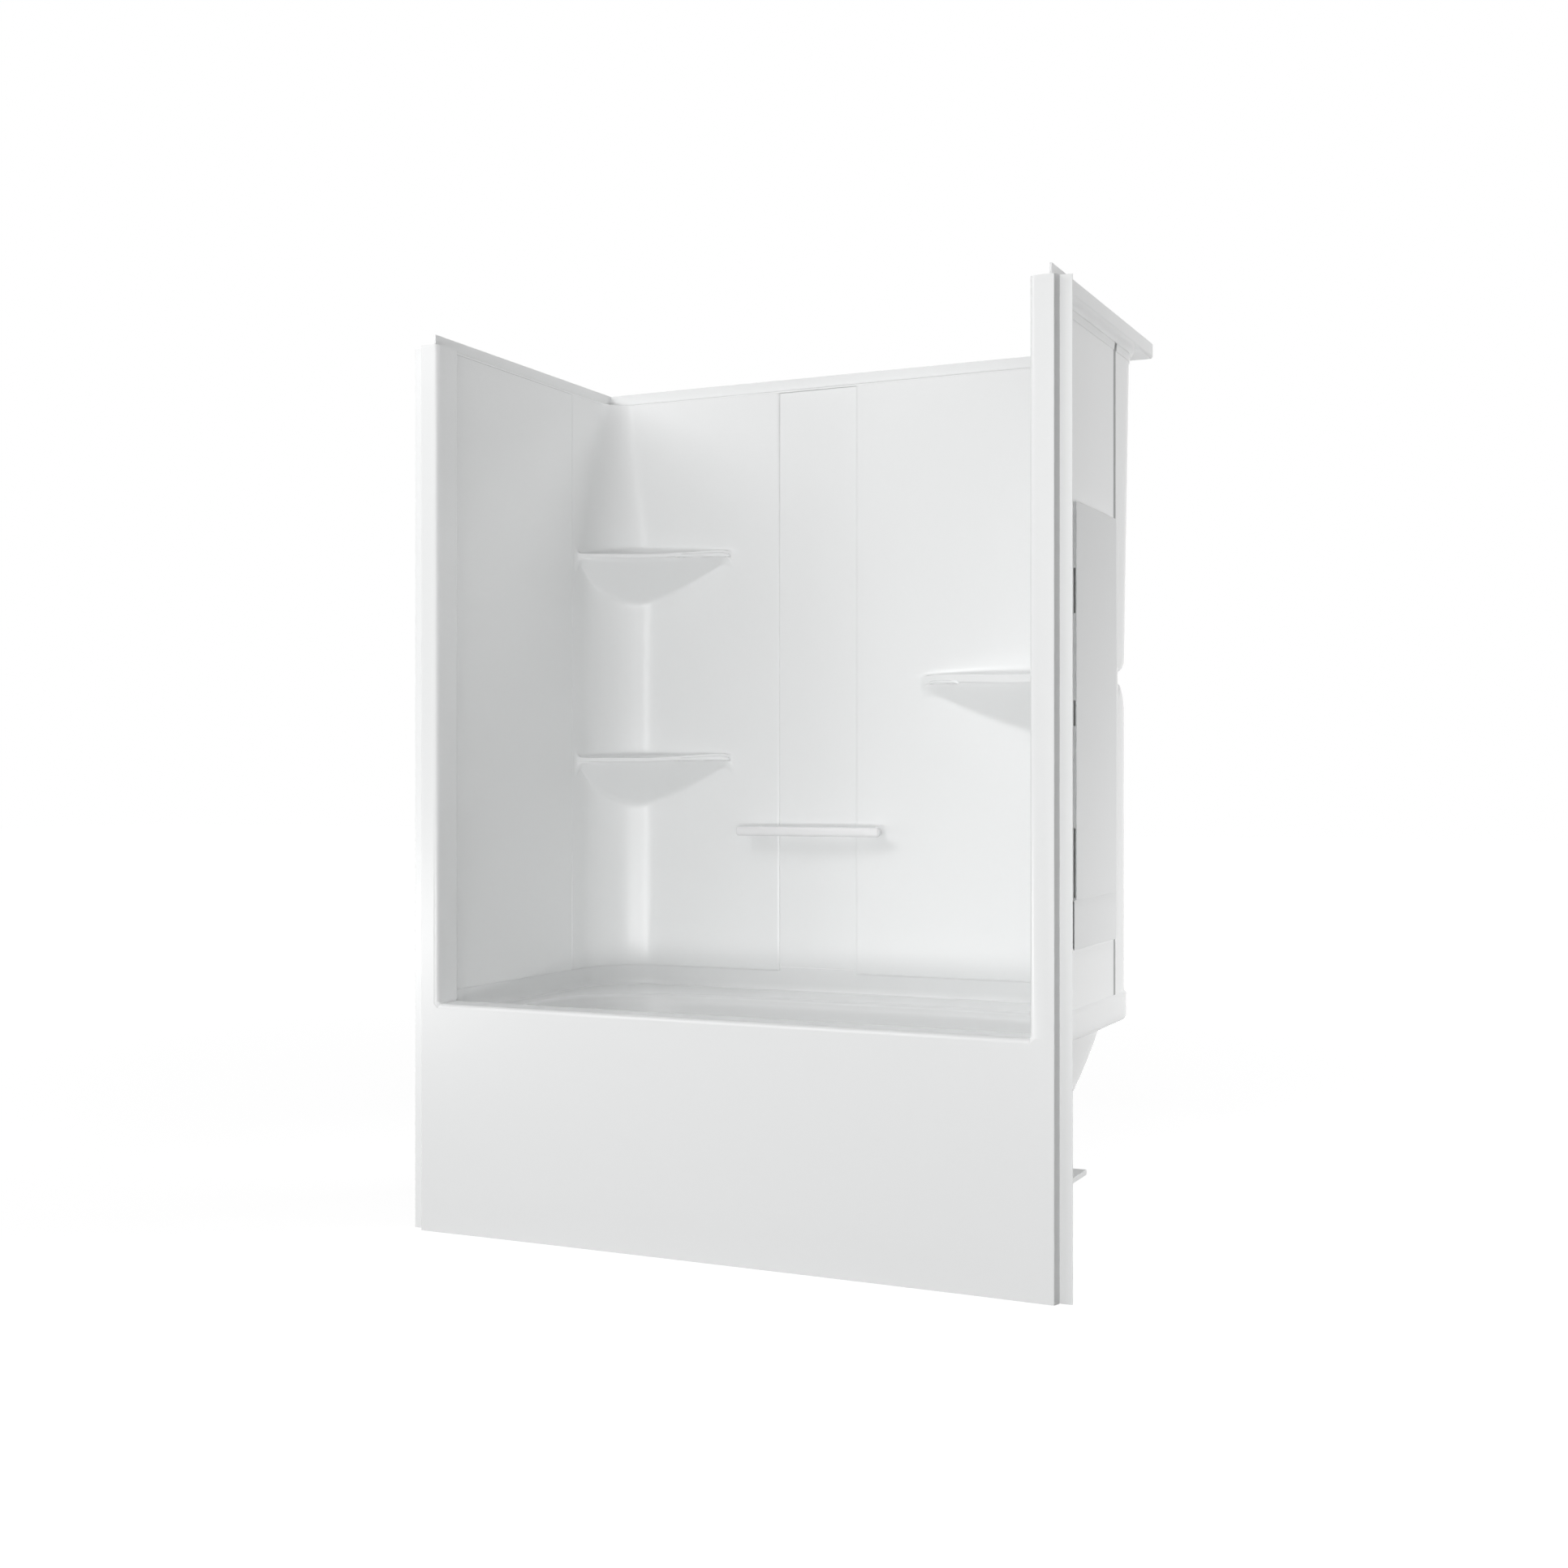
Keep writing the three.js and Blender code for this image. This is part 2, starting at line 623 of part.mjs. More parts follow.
const stopperSeal = () => atDrain(ring(6.4, 24, DRAIN_Z + 3.8, DRAIN_Z + 6.2));

const drainGasket = () => atDrain(ring(DRAIN_HOLE + 0.5, 36, 115.9, 118.7));

// The cup under the drain, with its branch towards the riser
function drainShoe() {
  const wall = DRAIN_HOLE + 3;
  const foot = WASTE_Z - 26;
  const lip = 110;
  const top = 115.6;
  const cup = turned([
    [0, foot],
    [wall - 4, foot],
    [wall, foot + 4],
    [wall, lip],
    [wall + 8, lip],
    [wall + 8, top],
    [DRAIN_HOLE - 1.5, top],
    [DRAIN_HOLE - 1.5, foot + 8],
    [0, foot + 6],
  ]);
  const level = (body) => alongX(body).translate([0, 0, WASTE_Z]);
  const branch = cut(level(rod(SOCKET - 1, -52, -20)), rod(wall - 1, foot - 8, lip + 10));
  const passage = level(rod(PIPE + GAP, -60, -26));
  const mouth = level(rod(PIPE_BORE, -40, -10));
  return atDrain(cut(join(cup, branch), passage, mouth));
}

function wastePipe() {
  const tube = ring(PIPE_BORE, PIPE, RISER_X + 14, DRAIN_X - 27, 24);
  return alongX(tube).translate([0, WELL_MIDDLE, WASTE_Z]);
}

function wasteTee() {
  const reach = 34;
  const trunk = ring(PIPE + GAP, SOCKET, WASTE_Z - reach, WASTE_Z + reach, 28);
  const level = (body) => alongX(body).translate([0, 0, WASTE_Z]);
  const branch = level(rod(SOCKET - 1, PIPE + 0.5, 44));
  const passage = level(rod(PIPE + GAP, 13, 50));
  const bore = rod(PIPE + GAP, WASTE_Z - reach - 10, WASTE_Z + reach + 10, 28);
  return atRiser(cut(join(trunk, branch), passage, bore));
}

const overflowPipe = () => atRiser(ring(PIPE_BORE, PIPE, WASTE_Z + 22, OVERFLOW_Z - 30, 24));
const tailpiece = () => atRiser(ring(PIPE_BORE, PIPE, TAILPIECE_FOOT, WASTE_Z - 21, 24));

function slipNut(z0) {
  const nut = rod(NUT_RADIUS, z0, z0 + NUT_HEIGHT, 6);
  return atRiser(cut(nut, rod(PIPE + GAP, z0 - 1, z0 + NUT_HEIGHT + 1, 28)));
}

const atScrews = (make) => [-OVERFLOW_SCREW, OVERFLOW_SCREW].map((y) => make().translate([0, y, 0]));

// The elbow behind the well's end: a flange on the overflow hole and a socket on the riser
function overflowElbow() {
  const throat = 18;
  const wall = throat + 4;
  const flange = placeOverflow(alongX(ring(throat, 35, -9.5, -5.7)));
  const neck = placeOverflow(alongX(ring(throat, wall, -40, -7)));
  const socket = atRiser(ring(PIPE + GAP, SOCKET, OVERFLOW_Z - 52, OVERFLOW_Z - 22));
  const knee = atRiser(rod(SOCKET, OVERFLOW_Z - 23, OVERFLOW_Z + 18));
  const hollow = atRiser(rod(PIPE_BORE, OVERFLOW_Z - 30, OVERFLOW_Z + 14));
  const passage = placeOverflow(alongX(rod(throat, -44, 0)));
  const holes = atScrews(() => alongX(rod(2.4, -12, 0, 16))).map(placeOverflow);
  return cut(join(flange, neck, socket, knee), hollow, passage, ...holes);
}

const overflowGasket = () => placeOverflow(alongX(ring(OVERFLOW_HOLE + 1, 35, -5.3, -3.6)));

// Profiles of the plate and its screws are given from the middle of the well's skin
function overflowPlate() {
  const dome = turned([
    [0, 14.5],
    [24, 13.5],
    [36, 11],
    [40, 7.5],
    [40, 5.5],
    [36, 5.5],
    [34, 8.5],
    [0, 10],
  ]);
  const slots = [-6, 6].map((y) => box([-14, 14], [y - 2, y + 2], [0, 20]));
  const holes = atScrews(() => rod(2.5, 0, 20, 16));
  return placeOverflow(alongX(cut(dome, ...slots, ...holes)));
}

function overflowScrew(side) {
  const shank = 2.1;
  const headFoot = 14.2;
  const screw = turned([
    [0, -11],
    [shank, -11],
    [shank, headFoot],
    [4.5, headFoot],
    [3.6, headFoot + 1.9],
    [0, headFoot + 2.5],
  ], 16);
  return placeOverflow(alongX(screw.translate([0, side * OVERFLOW_SCREW, 0])));
}

// Towel bar
function towelBar() {
  const { front, depth, height, round, z } = BAR;
  const [y0, y1] = [front + round, front + depth - round];
  const [z0, z1] = [z - height / 2 + round, z + height / 2 - round];
  const outline = [
    ...arc(y0, z0, round, 180, 270, 5),
    ...arc(y1, z0, round, 270, 360, 5),
    ...arc(y1, z1, round, 0, 90, 5),
    ...arc(y0, z1, round, 90, 180, 5),
  ];
  return drawOut(outline, BAR.left, BAR.right);
}

function towelBarPost(x) {
  const from = BAR.front + BAR.depth + GAP;
  const to = WALL_Y - GAP;
  const bore = BOLT + 0.4;
  const body = turned([
    [0, from],
    [POST_BODY, from],
    [POST_BODY, to - 3],
    [POST_FOOT, to - 3],
    [POST_FOOT, to],
    [bore, to],
    [bore, to - 20],
    [0, to - 20],
  ], 24);
  return alongY(body).translate([x, 0, BAR.z]);
}

const blockFront = WALL_Y + WALL_SKIN + GAP;
const blockBack = blockFront + BACKING_BLOCK.thick;

const boltHole = (x) => alongY(rod(BOLT + 0.5, WALL_Y - 5, DEPTH, 16)).translate([x, 0, BAR.z]);

function barBackingBlock(x) {
  const { half, rise } = BACKING_BLOCK;
  const block = box([x - half, x + half], [blockFront, blockBack], [BAR.z - rise, BAR.z + rise]);
  return cut(block, boltHole(x));
}

function towelBarBolt(x) {
  const tip = WALL_Y - 18;
  const head = blockBack + GAP;
  const bolt = turned([
    [0, tip],
    [BOLT, tip],
    [BOLT, head],
    [6, head],
    [6, head + 3.6],
    [0, head + 3.6],
  ], 20);
  return alongY(bolt).translate([x, 0, BAR.z]);
}

// Backing boards, base board and timber
function sideBoard(side, { thick, front, back, foot, top }) {
  const inner = WALL_X + WALL_SKIN + GAP;
  const faces = [side * inner, side * (inner + thick)].sort((a, b) => a - b);
  return box(faces, [front, back], [foot, top]);
}

function baseBoard() {
  const { half, front, back, foot, top } = BASE_BOARD;
  const board = box([-half, half], [front, back], [foot, top]);
  return cut(board, atDrain(rod(DRAIN_ACCESS, foot - 10, top + 10)));
}

function runner(y, x0) {
  return box([x0, RUNNER_HALF], [y, y + TIMBER_WIDTH], [0, BASE_BOARD.foot - GAP]);
}

function rail({ half, front, foot = 0, top }) {
  return box([-half, half], [front, front + TIMBER_WIDTH], [foot, top]);
}

// The unit
const unit = new THREE.Group();
unit.position.y = -DEPTH / 2;

const shell = new THREE.Group();
shell.add(
  piece("front_frame", frontFrame(), WHITE),
  piece("tub_basin", tubBasin(), WHITE),
  piece("left_wall_panel", sidePanel(-1, LEFT_SEAM), WHITE),
  piece("left_corner_panel", leftCornerPanel(), WHITE),
  piece("center_back_panel", centerPanel(), WHITE),
  piece("right_corner_panel", rightCornerPanel(), WHITE),
  piece("right_wall_panel", sidePanel(1, RIGHT_SEAM), WHITE),
  piece("top_rail", topRail(), WHITE),
);

const towelRail = new THREE.Group();
towelRail.add(piece("towel_bar", towelBar(), WHITE));
for (const [k, side] of ["left", "right"].entries()) {
  const x = BAR_POSTS[k];
  towelRail.add(
    piece("towel_bar_post_" + side, towelBarPost(x), WHITE),
    piece("towel_bar_block_" + side, barBackingBlock(x), TIMBER),
    piece("towel_bar_bolt_" + side, towelBarBolt(x), STEEL),
  );
}

const timber = new THREE.Group();
for (const [name, side] of [["left", -1], ["right", 1]]) {
  timber.add(
    piece(name + "_backing_board_upper", sideBoard(side, UPPER_BOARD), COATED_BOARD),
    piece(name + "_backing_board_lower", sideBoard(side, LOWER_BOARD), COATED_BOARD),
  );
}
timber.add(
  piece("base_board", baseBoard(), COATED_BOARD),
  piece("runner_front", runner(RUNNERS.front, -RUNNER_HALF), TIMBER),
  piece("runner_middle", runner(RUNNERS.middle, MIDDLE_RUNNER_START), TIMBER),
  piece("runner_back", runner(RUNNERS.back, -RUNNER_HALF), TIMBER),
  piece("rim_support_rail", rail(RIM_RAIL), TIMBER),
  piece("apron_foot_rail", rail(FOOT_RAIL), TIMBER),
);

const waste = new THREE.Group();
waste.add(
  piece("drain_strainer", drainStrainer(), CHROME),
  piece("drain_gasket", drainGasket(), RUBBER),
  piece("drain_shoe", drainShoe(), PIPEWORK),
  piece("stopper_post", stopperPost(), STEEL),
  piece("drain_stopper", drainStopper(), CHROME),
  piece("stopper_seal", stopperSeal(), RUBBER),
  piece("waste_pipe", wastePipe(), PIPEWORK),
  piece("waste_tee", wasteTee(), PIPEWORK),
  piece("tailpiece", tailpiece(), PIPEWORK),
  piece("overflow_pipe", overflowPipe(), PIPEWORK),
  piece("overflow_elbow", overflowElbow(), PIPEWORK),
  piece("overflow_gasket", overflowGasket(), RUBBER),
  piece("overflow_plate", overflowPlate(), CHROME),
  piece("overflow_screw_left", overflowScrew(-1), STEEL),
  piece("overflow_screw_right", overflowScrew(1), STEEL),
  piece("slip_nut_riser", slipNut(WASTE_Z + 35), PIPEWORK),
  piece("slip_nut_tailpiece", slipNut(WASTE_Z - 35 - NUT_HEIGHT), PIPEWORK),
);

unit.add(shell, towelRail, timber, waste);

export default unit;
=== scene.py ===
"""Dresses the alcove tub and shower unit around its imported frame, and sets its studio.

The shells are drawn as thin sheets, as the real ones are moulded, then given their thickness.
Lengths are metres, +Z is up, the front face looks along -Y, and the floor is at z = 0.
"""
import math
from contextlib import contextmanager

import bmesh
import bpy
from bpy.props import FloatProperty, FloatVectorProperty, PointerProperty
from mathutils import Matrix, Vector


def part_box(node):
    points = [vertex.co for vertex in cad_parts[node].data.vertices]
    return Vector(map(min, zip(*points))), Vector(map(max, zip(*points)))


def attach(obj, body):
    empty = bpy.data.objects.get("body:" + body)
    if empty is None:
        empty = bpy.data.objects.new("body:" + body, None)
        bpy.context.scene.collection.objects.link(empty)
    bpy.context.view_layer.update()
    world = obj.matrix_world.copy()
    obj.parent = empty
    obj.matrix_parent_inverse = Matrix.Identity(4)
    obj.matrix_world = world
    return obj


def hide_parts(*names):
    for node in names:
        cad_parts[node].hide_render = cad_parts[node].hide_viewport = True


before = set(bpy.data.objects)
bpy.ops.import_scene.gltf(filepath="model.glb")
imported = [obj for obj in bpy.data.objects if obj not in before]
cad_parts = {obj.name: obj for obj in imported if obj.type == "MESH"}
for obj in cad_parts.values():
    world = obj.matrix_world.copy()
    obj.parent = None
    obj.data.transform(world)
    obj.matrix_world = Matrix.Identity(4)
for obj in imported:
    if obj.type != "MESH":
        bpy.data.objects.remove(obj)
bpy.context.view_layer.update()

bl_info = {
    "name": "Tub and Shower Unit",
    "version": (1, 0, 0),
    "blender": (4, 5, 0),
    "location": "View3D > Sidebar > Tub and Shower",
    "description": "Models the shells, fittings, boards and waste of an alcove tub and shower",
    "category": "Add Mesh",
}

MM = 0.001
UNIT = "unit"
STOPPER = "stopper"


def middle_of(node):
    low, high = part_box(node)
    return (low + high) / 2


# Places read from the frame
FRAME_LOW, FRAME_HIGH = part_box("front_frame")
FRONT, HALF_WIDTH, FRAME_TOP = FRAME_LOW.y, FRAME_HIGH.x, FRAME_HIGH.z
PANEL_LOW, PANEL_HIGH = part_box("right_wall_panel")
WALL_X, WALL_FRONT, WALL_FOOT = PANEL_LOW
WALL_BACK_X, RIGHT_SEAM, PANEL_TOP = PANEL_HIGH
LEFT_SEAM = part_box("left_wall_panel")[1].y
PANEL_SKIN = WALL_BACK_X - WALL_X
STRIP_LOW, STRIP_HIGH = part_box("center_back_panel")
STRIP_LEFT, WALL_BACK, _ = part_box("left_corner_panel")[1]
STRIP_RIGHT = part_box("right_corner_panel")[0].x
WALL_Y = WALL_BACK - PANEL_SKIN
TUB_LOW, TUB_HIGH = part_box("tub_basin")
RAIL_LOW, RAIL_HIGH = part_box("top_rail")
BAR_LOW, BAR_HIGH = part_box("towel_bar")
DRAIN = middle_of("drain_stopper")
RISER = middle_of("overflow_pipe")
LAP = 0.3 * MM

# Front frame
COLUMN_OUTER = 730 * MM
OPENING_LEFT = -686 * MM
OPENING_RIGHT = 680 * MM
RIM_HEIGHT = 506 * MM
RIM_DEPTH = 80 * MM
FLANGE_SETBACK = 19 * MM
FLANGE_START = 735 * MM
LIP_REACH = 706 * MM
FOLD_ROUND = 1.2 * MM
RETURN_ROUND = 8 * MM
CAP_DEPTH = 27 * MM
ARCH_HALF = 672 * MM
ARCH_FOOT = 81 * MM
ARCH_FADE = 0.6

# Bath
LEDGE = 480 * MM
WELL_MIDDLE = Vector((0, 358.5 * MM + FRONT))
WELL_POWER_LEFT = 2.9
WELL_POWER_RIGHT = 4.0
# Height of each level of the well, and its reach to the left, to the right and to the sides
WELL_LEVELS = [
    (474, 634, 683, 267), (440, 629, 673, 260), (345, 620, 634, 247), (250, 611, 582, 235),
    (165, 598, 520, 219), (135, 578, 478, 198), (126, 545, 430, 170),
]
BATH_POINTS_APART = 36 * MM
# Shares of the way from the well's foot to the drain's seat where the floor has its rows
FLOOR_SHARES = (0.2, 0.45, 0.7, 1)
SEAT_RADIUS, SEAT_LEVEL = 38 * MM, 125.4 * MM
# Radii and heights of the drain's edge
DRAIN_LEVELS = ((37, 124), (30, 123.6), (25, 122.5), (25, 120))


def length(name, description, size):
    return FloatProperty(name=name, description=description, default=size * MM,
                         subtype="DISTANCE", unit="LENGTH")


def colour(name, description, value):
    return FloatVectorProperty(name=name, description=description, default=value,
                               subtype="COLOR", size=3, min=0, max=1)


def power(place, value):
    return FloatProperty(name=place.capitalize(), default=value,
                         description="Power of the lamp at the " + place)


class TubShowerSizes(bpy.types.PropertyGroup):
    """Sizes that shape the moulded shells"""
    frame_skin: length("Frame skin", "Thickness of the front frame", 4)
    tub_skin: length("Tub skin", "Thickness of the bath", 5)
    rim_round: length("Rim rounding", "Radius of the rim over the apron", 11)
    column_round: length("Column rounding", "Radius of the columns' edges at the opening", 11)
    outer_round: length("Outer rounding", "Radius of the columns' outer edges", 1.6)
    arch_rise: length("Arch rise", "Rise of the apron's arched step", 35.5)
    arch_recess: length("Arch recess", "Depth of the apron's arched step at its middle", 5)
    arch_band: length("Arch band", "Height of the slope under the arch at its middle", 12)
    shelf_lip: length("Left shelf lip", "Height of the left shelves' front edge", 9)
    left_bowl: length("Left shelf bowl", "Depth of the bowl under each left shelf", 105)
    right_bowl: length("Right shelf bowl", "Depth of the bowl under the right shelf", 130)
    upstand_slope: length("Upstand slope", "Fall of the upstand's top towards its outer face", 6.5)
    # The grey bead in this width is painted shade, standing in for the shade in the seam's gap
    seam_width: length("Seam width", "Width of the sealed joint outside each side seam", 15)
    ledge_round: length("Ledge rounding", "Radius where the ledge turns down into the well", 11)


class TubShowerColours(bpy.types.PropertyGroup):
    """Colours of the finishes"""
    acrylic: colour("Acrylic", "Gloss white of the shells", (0.755, 0.76, 0.76))
    board: colour("Coated board", "White coating of the boards", (0.86, 0.865, 0.865))
    timber: colour("Timber", "Sawn softwood", (0.55, 0.38, 0.21))
    chrome: colour("Chrome", "Polished fittings", (0.80, 0.81, 0.82))
    steel: colour("Steel", "Bolts, screws and the stopper's post", (0.52, 0.53, 0.55))
    rubber: colour("Rubber", "Seals and gaskets", (0.022, 0.022, 0.024))
    # Painted shade: the grey of the seam beads stands in for the shade in the gaps of the panels'
    # seams
    sealant: colour("Sealant", "Sealant in the side seams", (0.38, 0.385, 0.385))
    pipework: colour("Pipework", "Moulded waste pipes", (0.030, 0.031, 0.033))


class TubShowerStudio(bpy.types.PropertyGroup):
    """Camera and light"""
    lens: FloatProperty(
        name="Lens", description="Focal length on a 36 mm frame", default=44.427)
    turn: FloatProperty(
        name="Turn", description="How far the camera looks to the left of straight in",
        default=math.radians(25.084), subtype="ANGLE")
    back_steep: power("back, steep on the right", 58)
    back_right: power("back, tall on the right", 20)
    back_low: power("back, low on the right", 23)
    overhead: power("top, over the front", 36)
    front_high: power("front, high on the left", 67)
    front_strip: power("front, upright in the middle", 41)
    right_strip: power("front, upright on the right", 8)
    apron_left: power("front, low on the left", 62)
    apron_right: power("front, low on the right", 54)
    ambient: FloatProperty(
        name="Ambient", description="Strength of the even light all round", default=0.02)


# Selecting and shaping

def clear():
    """Leave edit mode with nothing selected."""
    if bpy.context.mode != "OBJECT":
        bpy.ops.object.mode_set(mode="OBJECT")
    bpy.ops.object.select_all(action="DESELECT")


def only(piece):
    clear()
    piece.select_set(True)
    bpy.context.view_layer.objects.active = piece


def claim(name):
    """Name the primitive just added and settle its place in its mesh."""
    piece = bpy.context.object
    piece.name = name
    piece.data.name = name
    bpy.ops.object.transform_apply(location=True, rotation=True, scale=True)
    return piece


@contextmanager
def editing(piece):
    only(piece)
    bpy.ops.object.mode_set(mode="EDIT")
    yield
    bpy.ops.object.mode_set(mode="OBJECT")


def pick(piece, kind, test):
    """In edit mode, select the vertices, edges or faces whose points all pass the test."""
    bpy.ops.mesh.select_mode(type=kind)
    bpy.ops.mesh.select_all(action="DESELECT")
    shape = bmesh.from_edit_mesh(piece.data)
    if kind == "VERT":
        chosen = [v for v in shape.verts if test(v.co)]
    else:
        parts = shape.edges if kind == "EDGE" else shape.faces
        chosen = [part for part in parts if all(test(v.co) for v in part.verts)]
    for part in chosen:
        part.select_set(True)
    bmesh.update_edit_mesh(piece.data)


def pick_all():
    bpy.ops.mesh.select_all(action="SELECT")


def face_outwards():
    """In edit mode, turn the picked faces of a closed shape outwards."""
    bpy.ops.mesh.normals_make_consistent(inside=False)


def round_edges(radius, segments):
    """In edit mode, round the picked edges."""
    bpy.ops.mesh.bevel(offset=radius, segments=segments, affect="EDGES")


def pull(step):
    """Extrude the picked edges and move them."""
    bpy.ops.mesh.extrude_region_move(TRANSFORM_OT_translate={"value": step})


def near(a, b, slack=0.05 * MM):
    return abs(a - b) < slack


def modify(piece, kind, **settings):
    """Add a modifier, set it and apply it."""
    only(piece)
    modifier = piece.modifiers.new(kind.title(), kind)
    for key, value in settings.items():
        setattr(modifier, key, value)
    bpy.ops.object.modifier_apply(modifier=modifier.name)


def face_towards(piece, direction):
    """Turn an open sheet's faces so that most of its area looks along the direction."""
    whole = Vector()
    for face in piece.data.polygons:
        whole += face.normal * face.area
    if whole.dot(Vector(direction)) < 0:
        with editing(piece):
            pick_all()
            bpy.ops.mesh.flip_normals()


def thicken(piece, skin, even=True):
    """Give a sheet its thickness on the side away from its face."""
    modify(piece, "SOLIDIFY", thickness=skin, offset=-1, use_even_offset=even)


def shade(piece, angle=30):
    only(piece)
    bpy.ops.object.shade_smooth_by_angle(angle=math.radians(angle))


def weigh_normals(piece):
    """Keep broad flat faces flat beside their rounded edges."""
    shade(piece)
    modify(piece, "WEIGHTED_NORMAL", keep_sharp=True, weight=60)


def merge_close(distance=0.01 * MM):
    pick_all()
    bpy.ops.mesh.remove_doubles(threshold=distance)


def sheet(name, columns, rows, place):
    """A sheet drawn over its form: place gives where each column and row cross."""
    clear()
    bpy.ops.mesh.primitive_grid_add(x_subdivisions=columns - 1, y_subdivisions=rows - 1)
    piece = claim(name)
    for index, vertex in enumerate(piece.data.vertices):
        row, column = divmod(index, columns)
        vertex.co = place(column, row)
    return piece


def join(name, pieces):
    only(pieces[0])
    for piece in pieces:
        piece.select_set(True)
    bpy.ops.object.join()
    return claim(name)


def block(name, low, high, rounding=1.2 * MM):
    """A block between two corners with its edges eased."""
    clear()
    low, high = Vector(low), Vector(high)
    bpy.ops.mesh.primitive_cube_add(size=1, location=(low + high) / 2, scale=high - low)
    piece = claim(name)
    with editing(piece):
        pick_all()
        round_edges(rounding, 3)
    return piece


def trace(name, points):
    """A line drawn by pulling one vertex from point to point."""
    clear()
    bpy.ops.mesh.primitive_plane_add(size=MM)
    piece = claim(name)
    with editing(piece):
        bpy.ops.mesh.select_mode(type="VERT")
        pick_all()
        bpy.ops.mesh.merge(type="CENTER")
        bpy.ops.transform.translate(value=points[0])
        for start, end in zip(points, points[1:]):
            bpy.ops.mesh.extrude_vertices_move(TRANSFORM_OT_translate={"value": end - start})
    return piece


def turned(name, profile, steps=64, eased=0.5):
    """A body spun about the vertical from millimetres of radius and height, its edges eased."""
    piece = trace(name, [Vector((r, 0, z)) * MM for r, z in profile])
    with editing(piece):
        pick_all()
        bpy.ops.mesh.spin(steps=steps, angle=math.tau, center=(0, 0, 0), axis=(0, 0, 1))
        merge_close()
        face_outwards()
    modify(piece, "BEVEL", width=eased * MM, segments=2, limit_method="ANGLE",
           angle_limit=math.radians(35), use_clamp_overlap=True)
    return piece


def tube(name, inner, outer, foot, top):
    """A length of pipe about the vertical, in millimetres."""
    return turned(name, [(inner, foot), (outer, foot), (outer, top), (inner, top), (inner, foot)])


def rod(name, radius, foot, top, steps=64):
    """A plain cylinder about the vertical, in millimetres, to cut or join with."""
    clear()
    bpy.ops.mesh.primitive_cylinder_add(
        vertices=steps, radius=radius * MM, depth=(top - foot) * MM,
        location=(0, 0, (foot + top) / 2 * MM))
    return claim(name)


def hexagon(name, radius, foot, top, eased=0.5 * MM):
    """A six-sided nut blank about the vertical, in millimetres."""
    piece = rod(name, radius, foot, top, 6)
    with editing(piece):
        pick_all()
        round_edges(eased, 2)
    return piece


def move(piece, matrix):
    """Move a piece's mesh, so that its object stays at the origin."""
    piece.data.transform(matrix)
    return piece


def combine(piece, other, operation="UNION"):
    modify(piece, "BOOLEAN", object=other, operation=operation, solver="EXACT")
    bpy.data.objects.remove(other)


def dress(piece, finish, *nodes, body=UNIT, slot=None):
    """Give a piece its finish and let it stand for its CAD nodes."""
    piece.data.materials.clear()
    piece.data.materials.append(material_of(finish))
    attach(piece, body)
    slot or finish
    if nodes:
        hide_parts(*nodes)


def dress_flat(piece, finish, node):
    """Dress a piece with broad flat faces for its node."""
    weigh_normals(piece)
    dress(piece, finish, node)


def put(piece, place, finish, node, angle=35, body=UNIT):
    """Shade a turned piece, stand it in its place and dress it for its node."""
    shade(move(piece, place), angle)
    dress(piece, finish, node, body=body)


def bore(piece, radius, foot, top, place=Matrix(), steps=64):
    """Cut a round hole, in millimetres along the place's axis."""
    combine(piece, move(rod("bore", radius, foot, top, steps), place), "DIFFERENCE")


def eased_bar(name, low, high, rounding):
    """A block in millimetres."""
    return block(name, Vector(low) * MM, Vector(high) * MM, rounding * MM)


def mix(a, b, t):
    return a + (b - a) * t


def gentle(t):
    """A share from 0 to 1 that sets off and arrives gently."""
    return t * t * (3 - 2 * t)


def quarter(steps):
    """By how much the sine and the cosine fall short of 1 at each step of a quarter turn."""
    for k in range(steps + 1):
        angle = math.radians(90 * k / steps)
        yield 1 - math.sin(angle), 1 - math.cos(angle)


def arc(middle, radius, start, end, steps):
    """Points of an arc, in degrees."""
    points = []
    for k in range(steps + 1):
        angle = math.radians(mix(start, end, k / steps))
        points.append(Vector((middle[0] + radius * math.cos(angle),
                              middle[1] + radius * math.sin(angle))))
    return points


# Finishes

def feed(tree, socket, source):
    """Give a socket a value, or link it from another node's output."""
    if isinstance(source, bpy.types.NodeSocket):
        tree.links.new(source, socket)
    else:
        socket.default_value = source


def add_node(tree, kind, output, inputs, **settings):
    """Add a shader node, feed its inputs, and return the named output."""
    node = tree.nodes.new("ShaderNode" + kind)
    for key, value in settings.items():
        setattr(node, key, value)
    for key, source in inputs.items():
        feed(tree, node.inputs[key], source)
    return node.outputs[output] if output else None


def noise(tree, scale, detail, stretch=(1, 1, 1)):
    """Noise over the piece's own coordinates."""
    where = add_node(tree, "TexCoord", "Object", {})
    place = add_node(tree, "Mapping", "Vector", {"Scale": stretch, "Vector": where})
    return add_node(tree, "TexNoise", "Fac", {"Scale": scale, "Detail": detail, "Vector": place})


def shifted(base, amount):
    return tuple(min(1, max(0, channel * amount)) for channel in base)


def lay_tones(tree, shader, grain, base, tones):
    """Colour the shader between a darker and a lighter tone of its base."""
    ramp = tree.nodes.new("ShaderNodeValToRGB")
    for element, position, amount in zip(ramp.color_ramp.elements, (0.3, 0.7), tones):
        element.position = position
        element.color = (*shifted(base, amount), 1)
    feed(tree, ramp.inputs["Fac"], grain)
    feed(tree, shader.inputs["Base Color"], ramp.outputs["Color"])


def lay_roughness(tree, shader, grain, span):
    spread = add_node(tree, "MapRange", "Result",
                      {"To Min": span[0], "To Max": span[1], "Value": grain})
    feed(tree, shader.inputs["Roughness"], spread)


def lay_bump(tree, shader, grain, height, strength):
    bump = add_node(tree, "Bump", "Normal",
                    {"Distance": height * MM, "Strength": strength, "Height": grain})
    feed(tree, shader.inputs["Normal"], bump)


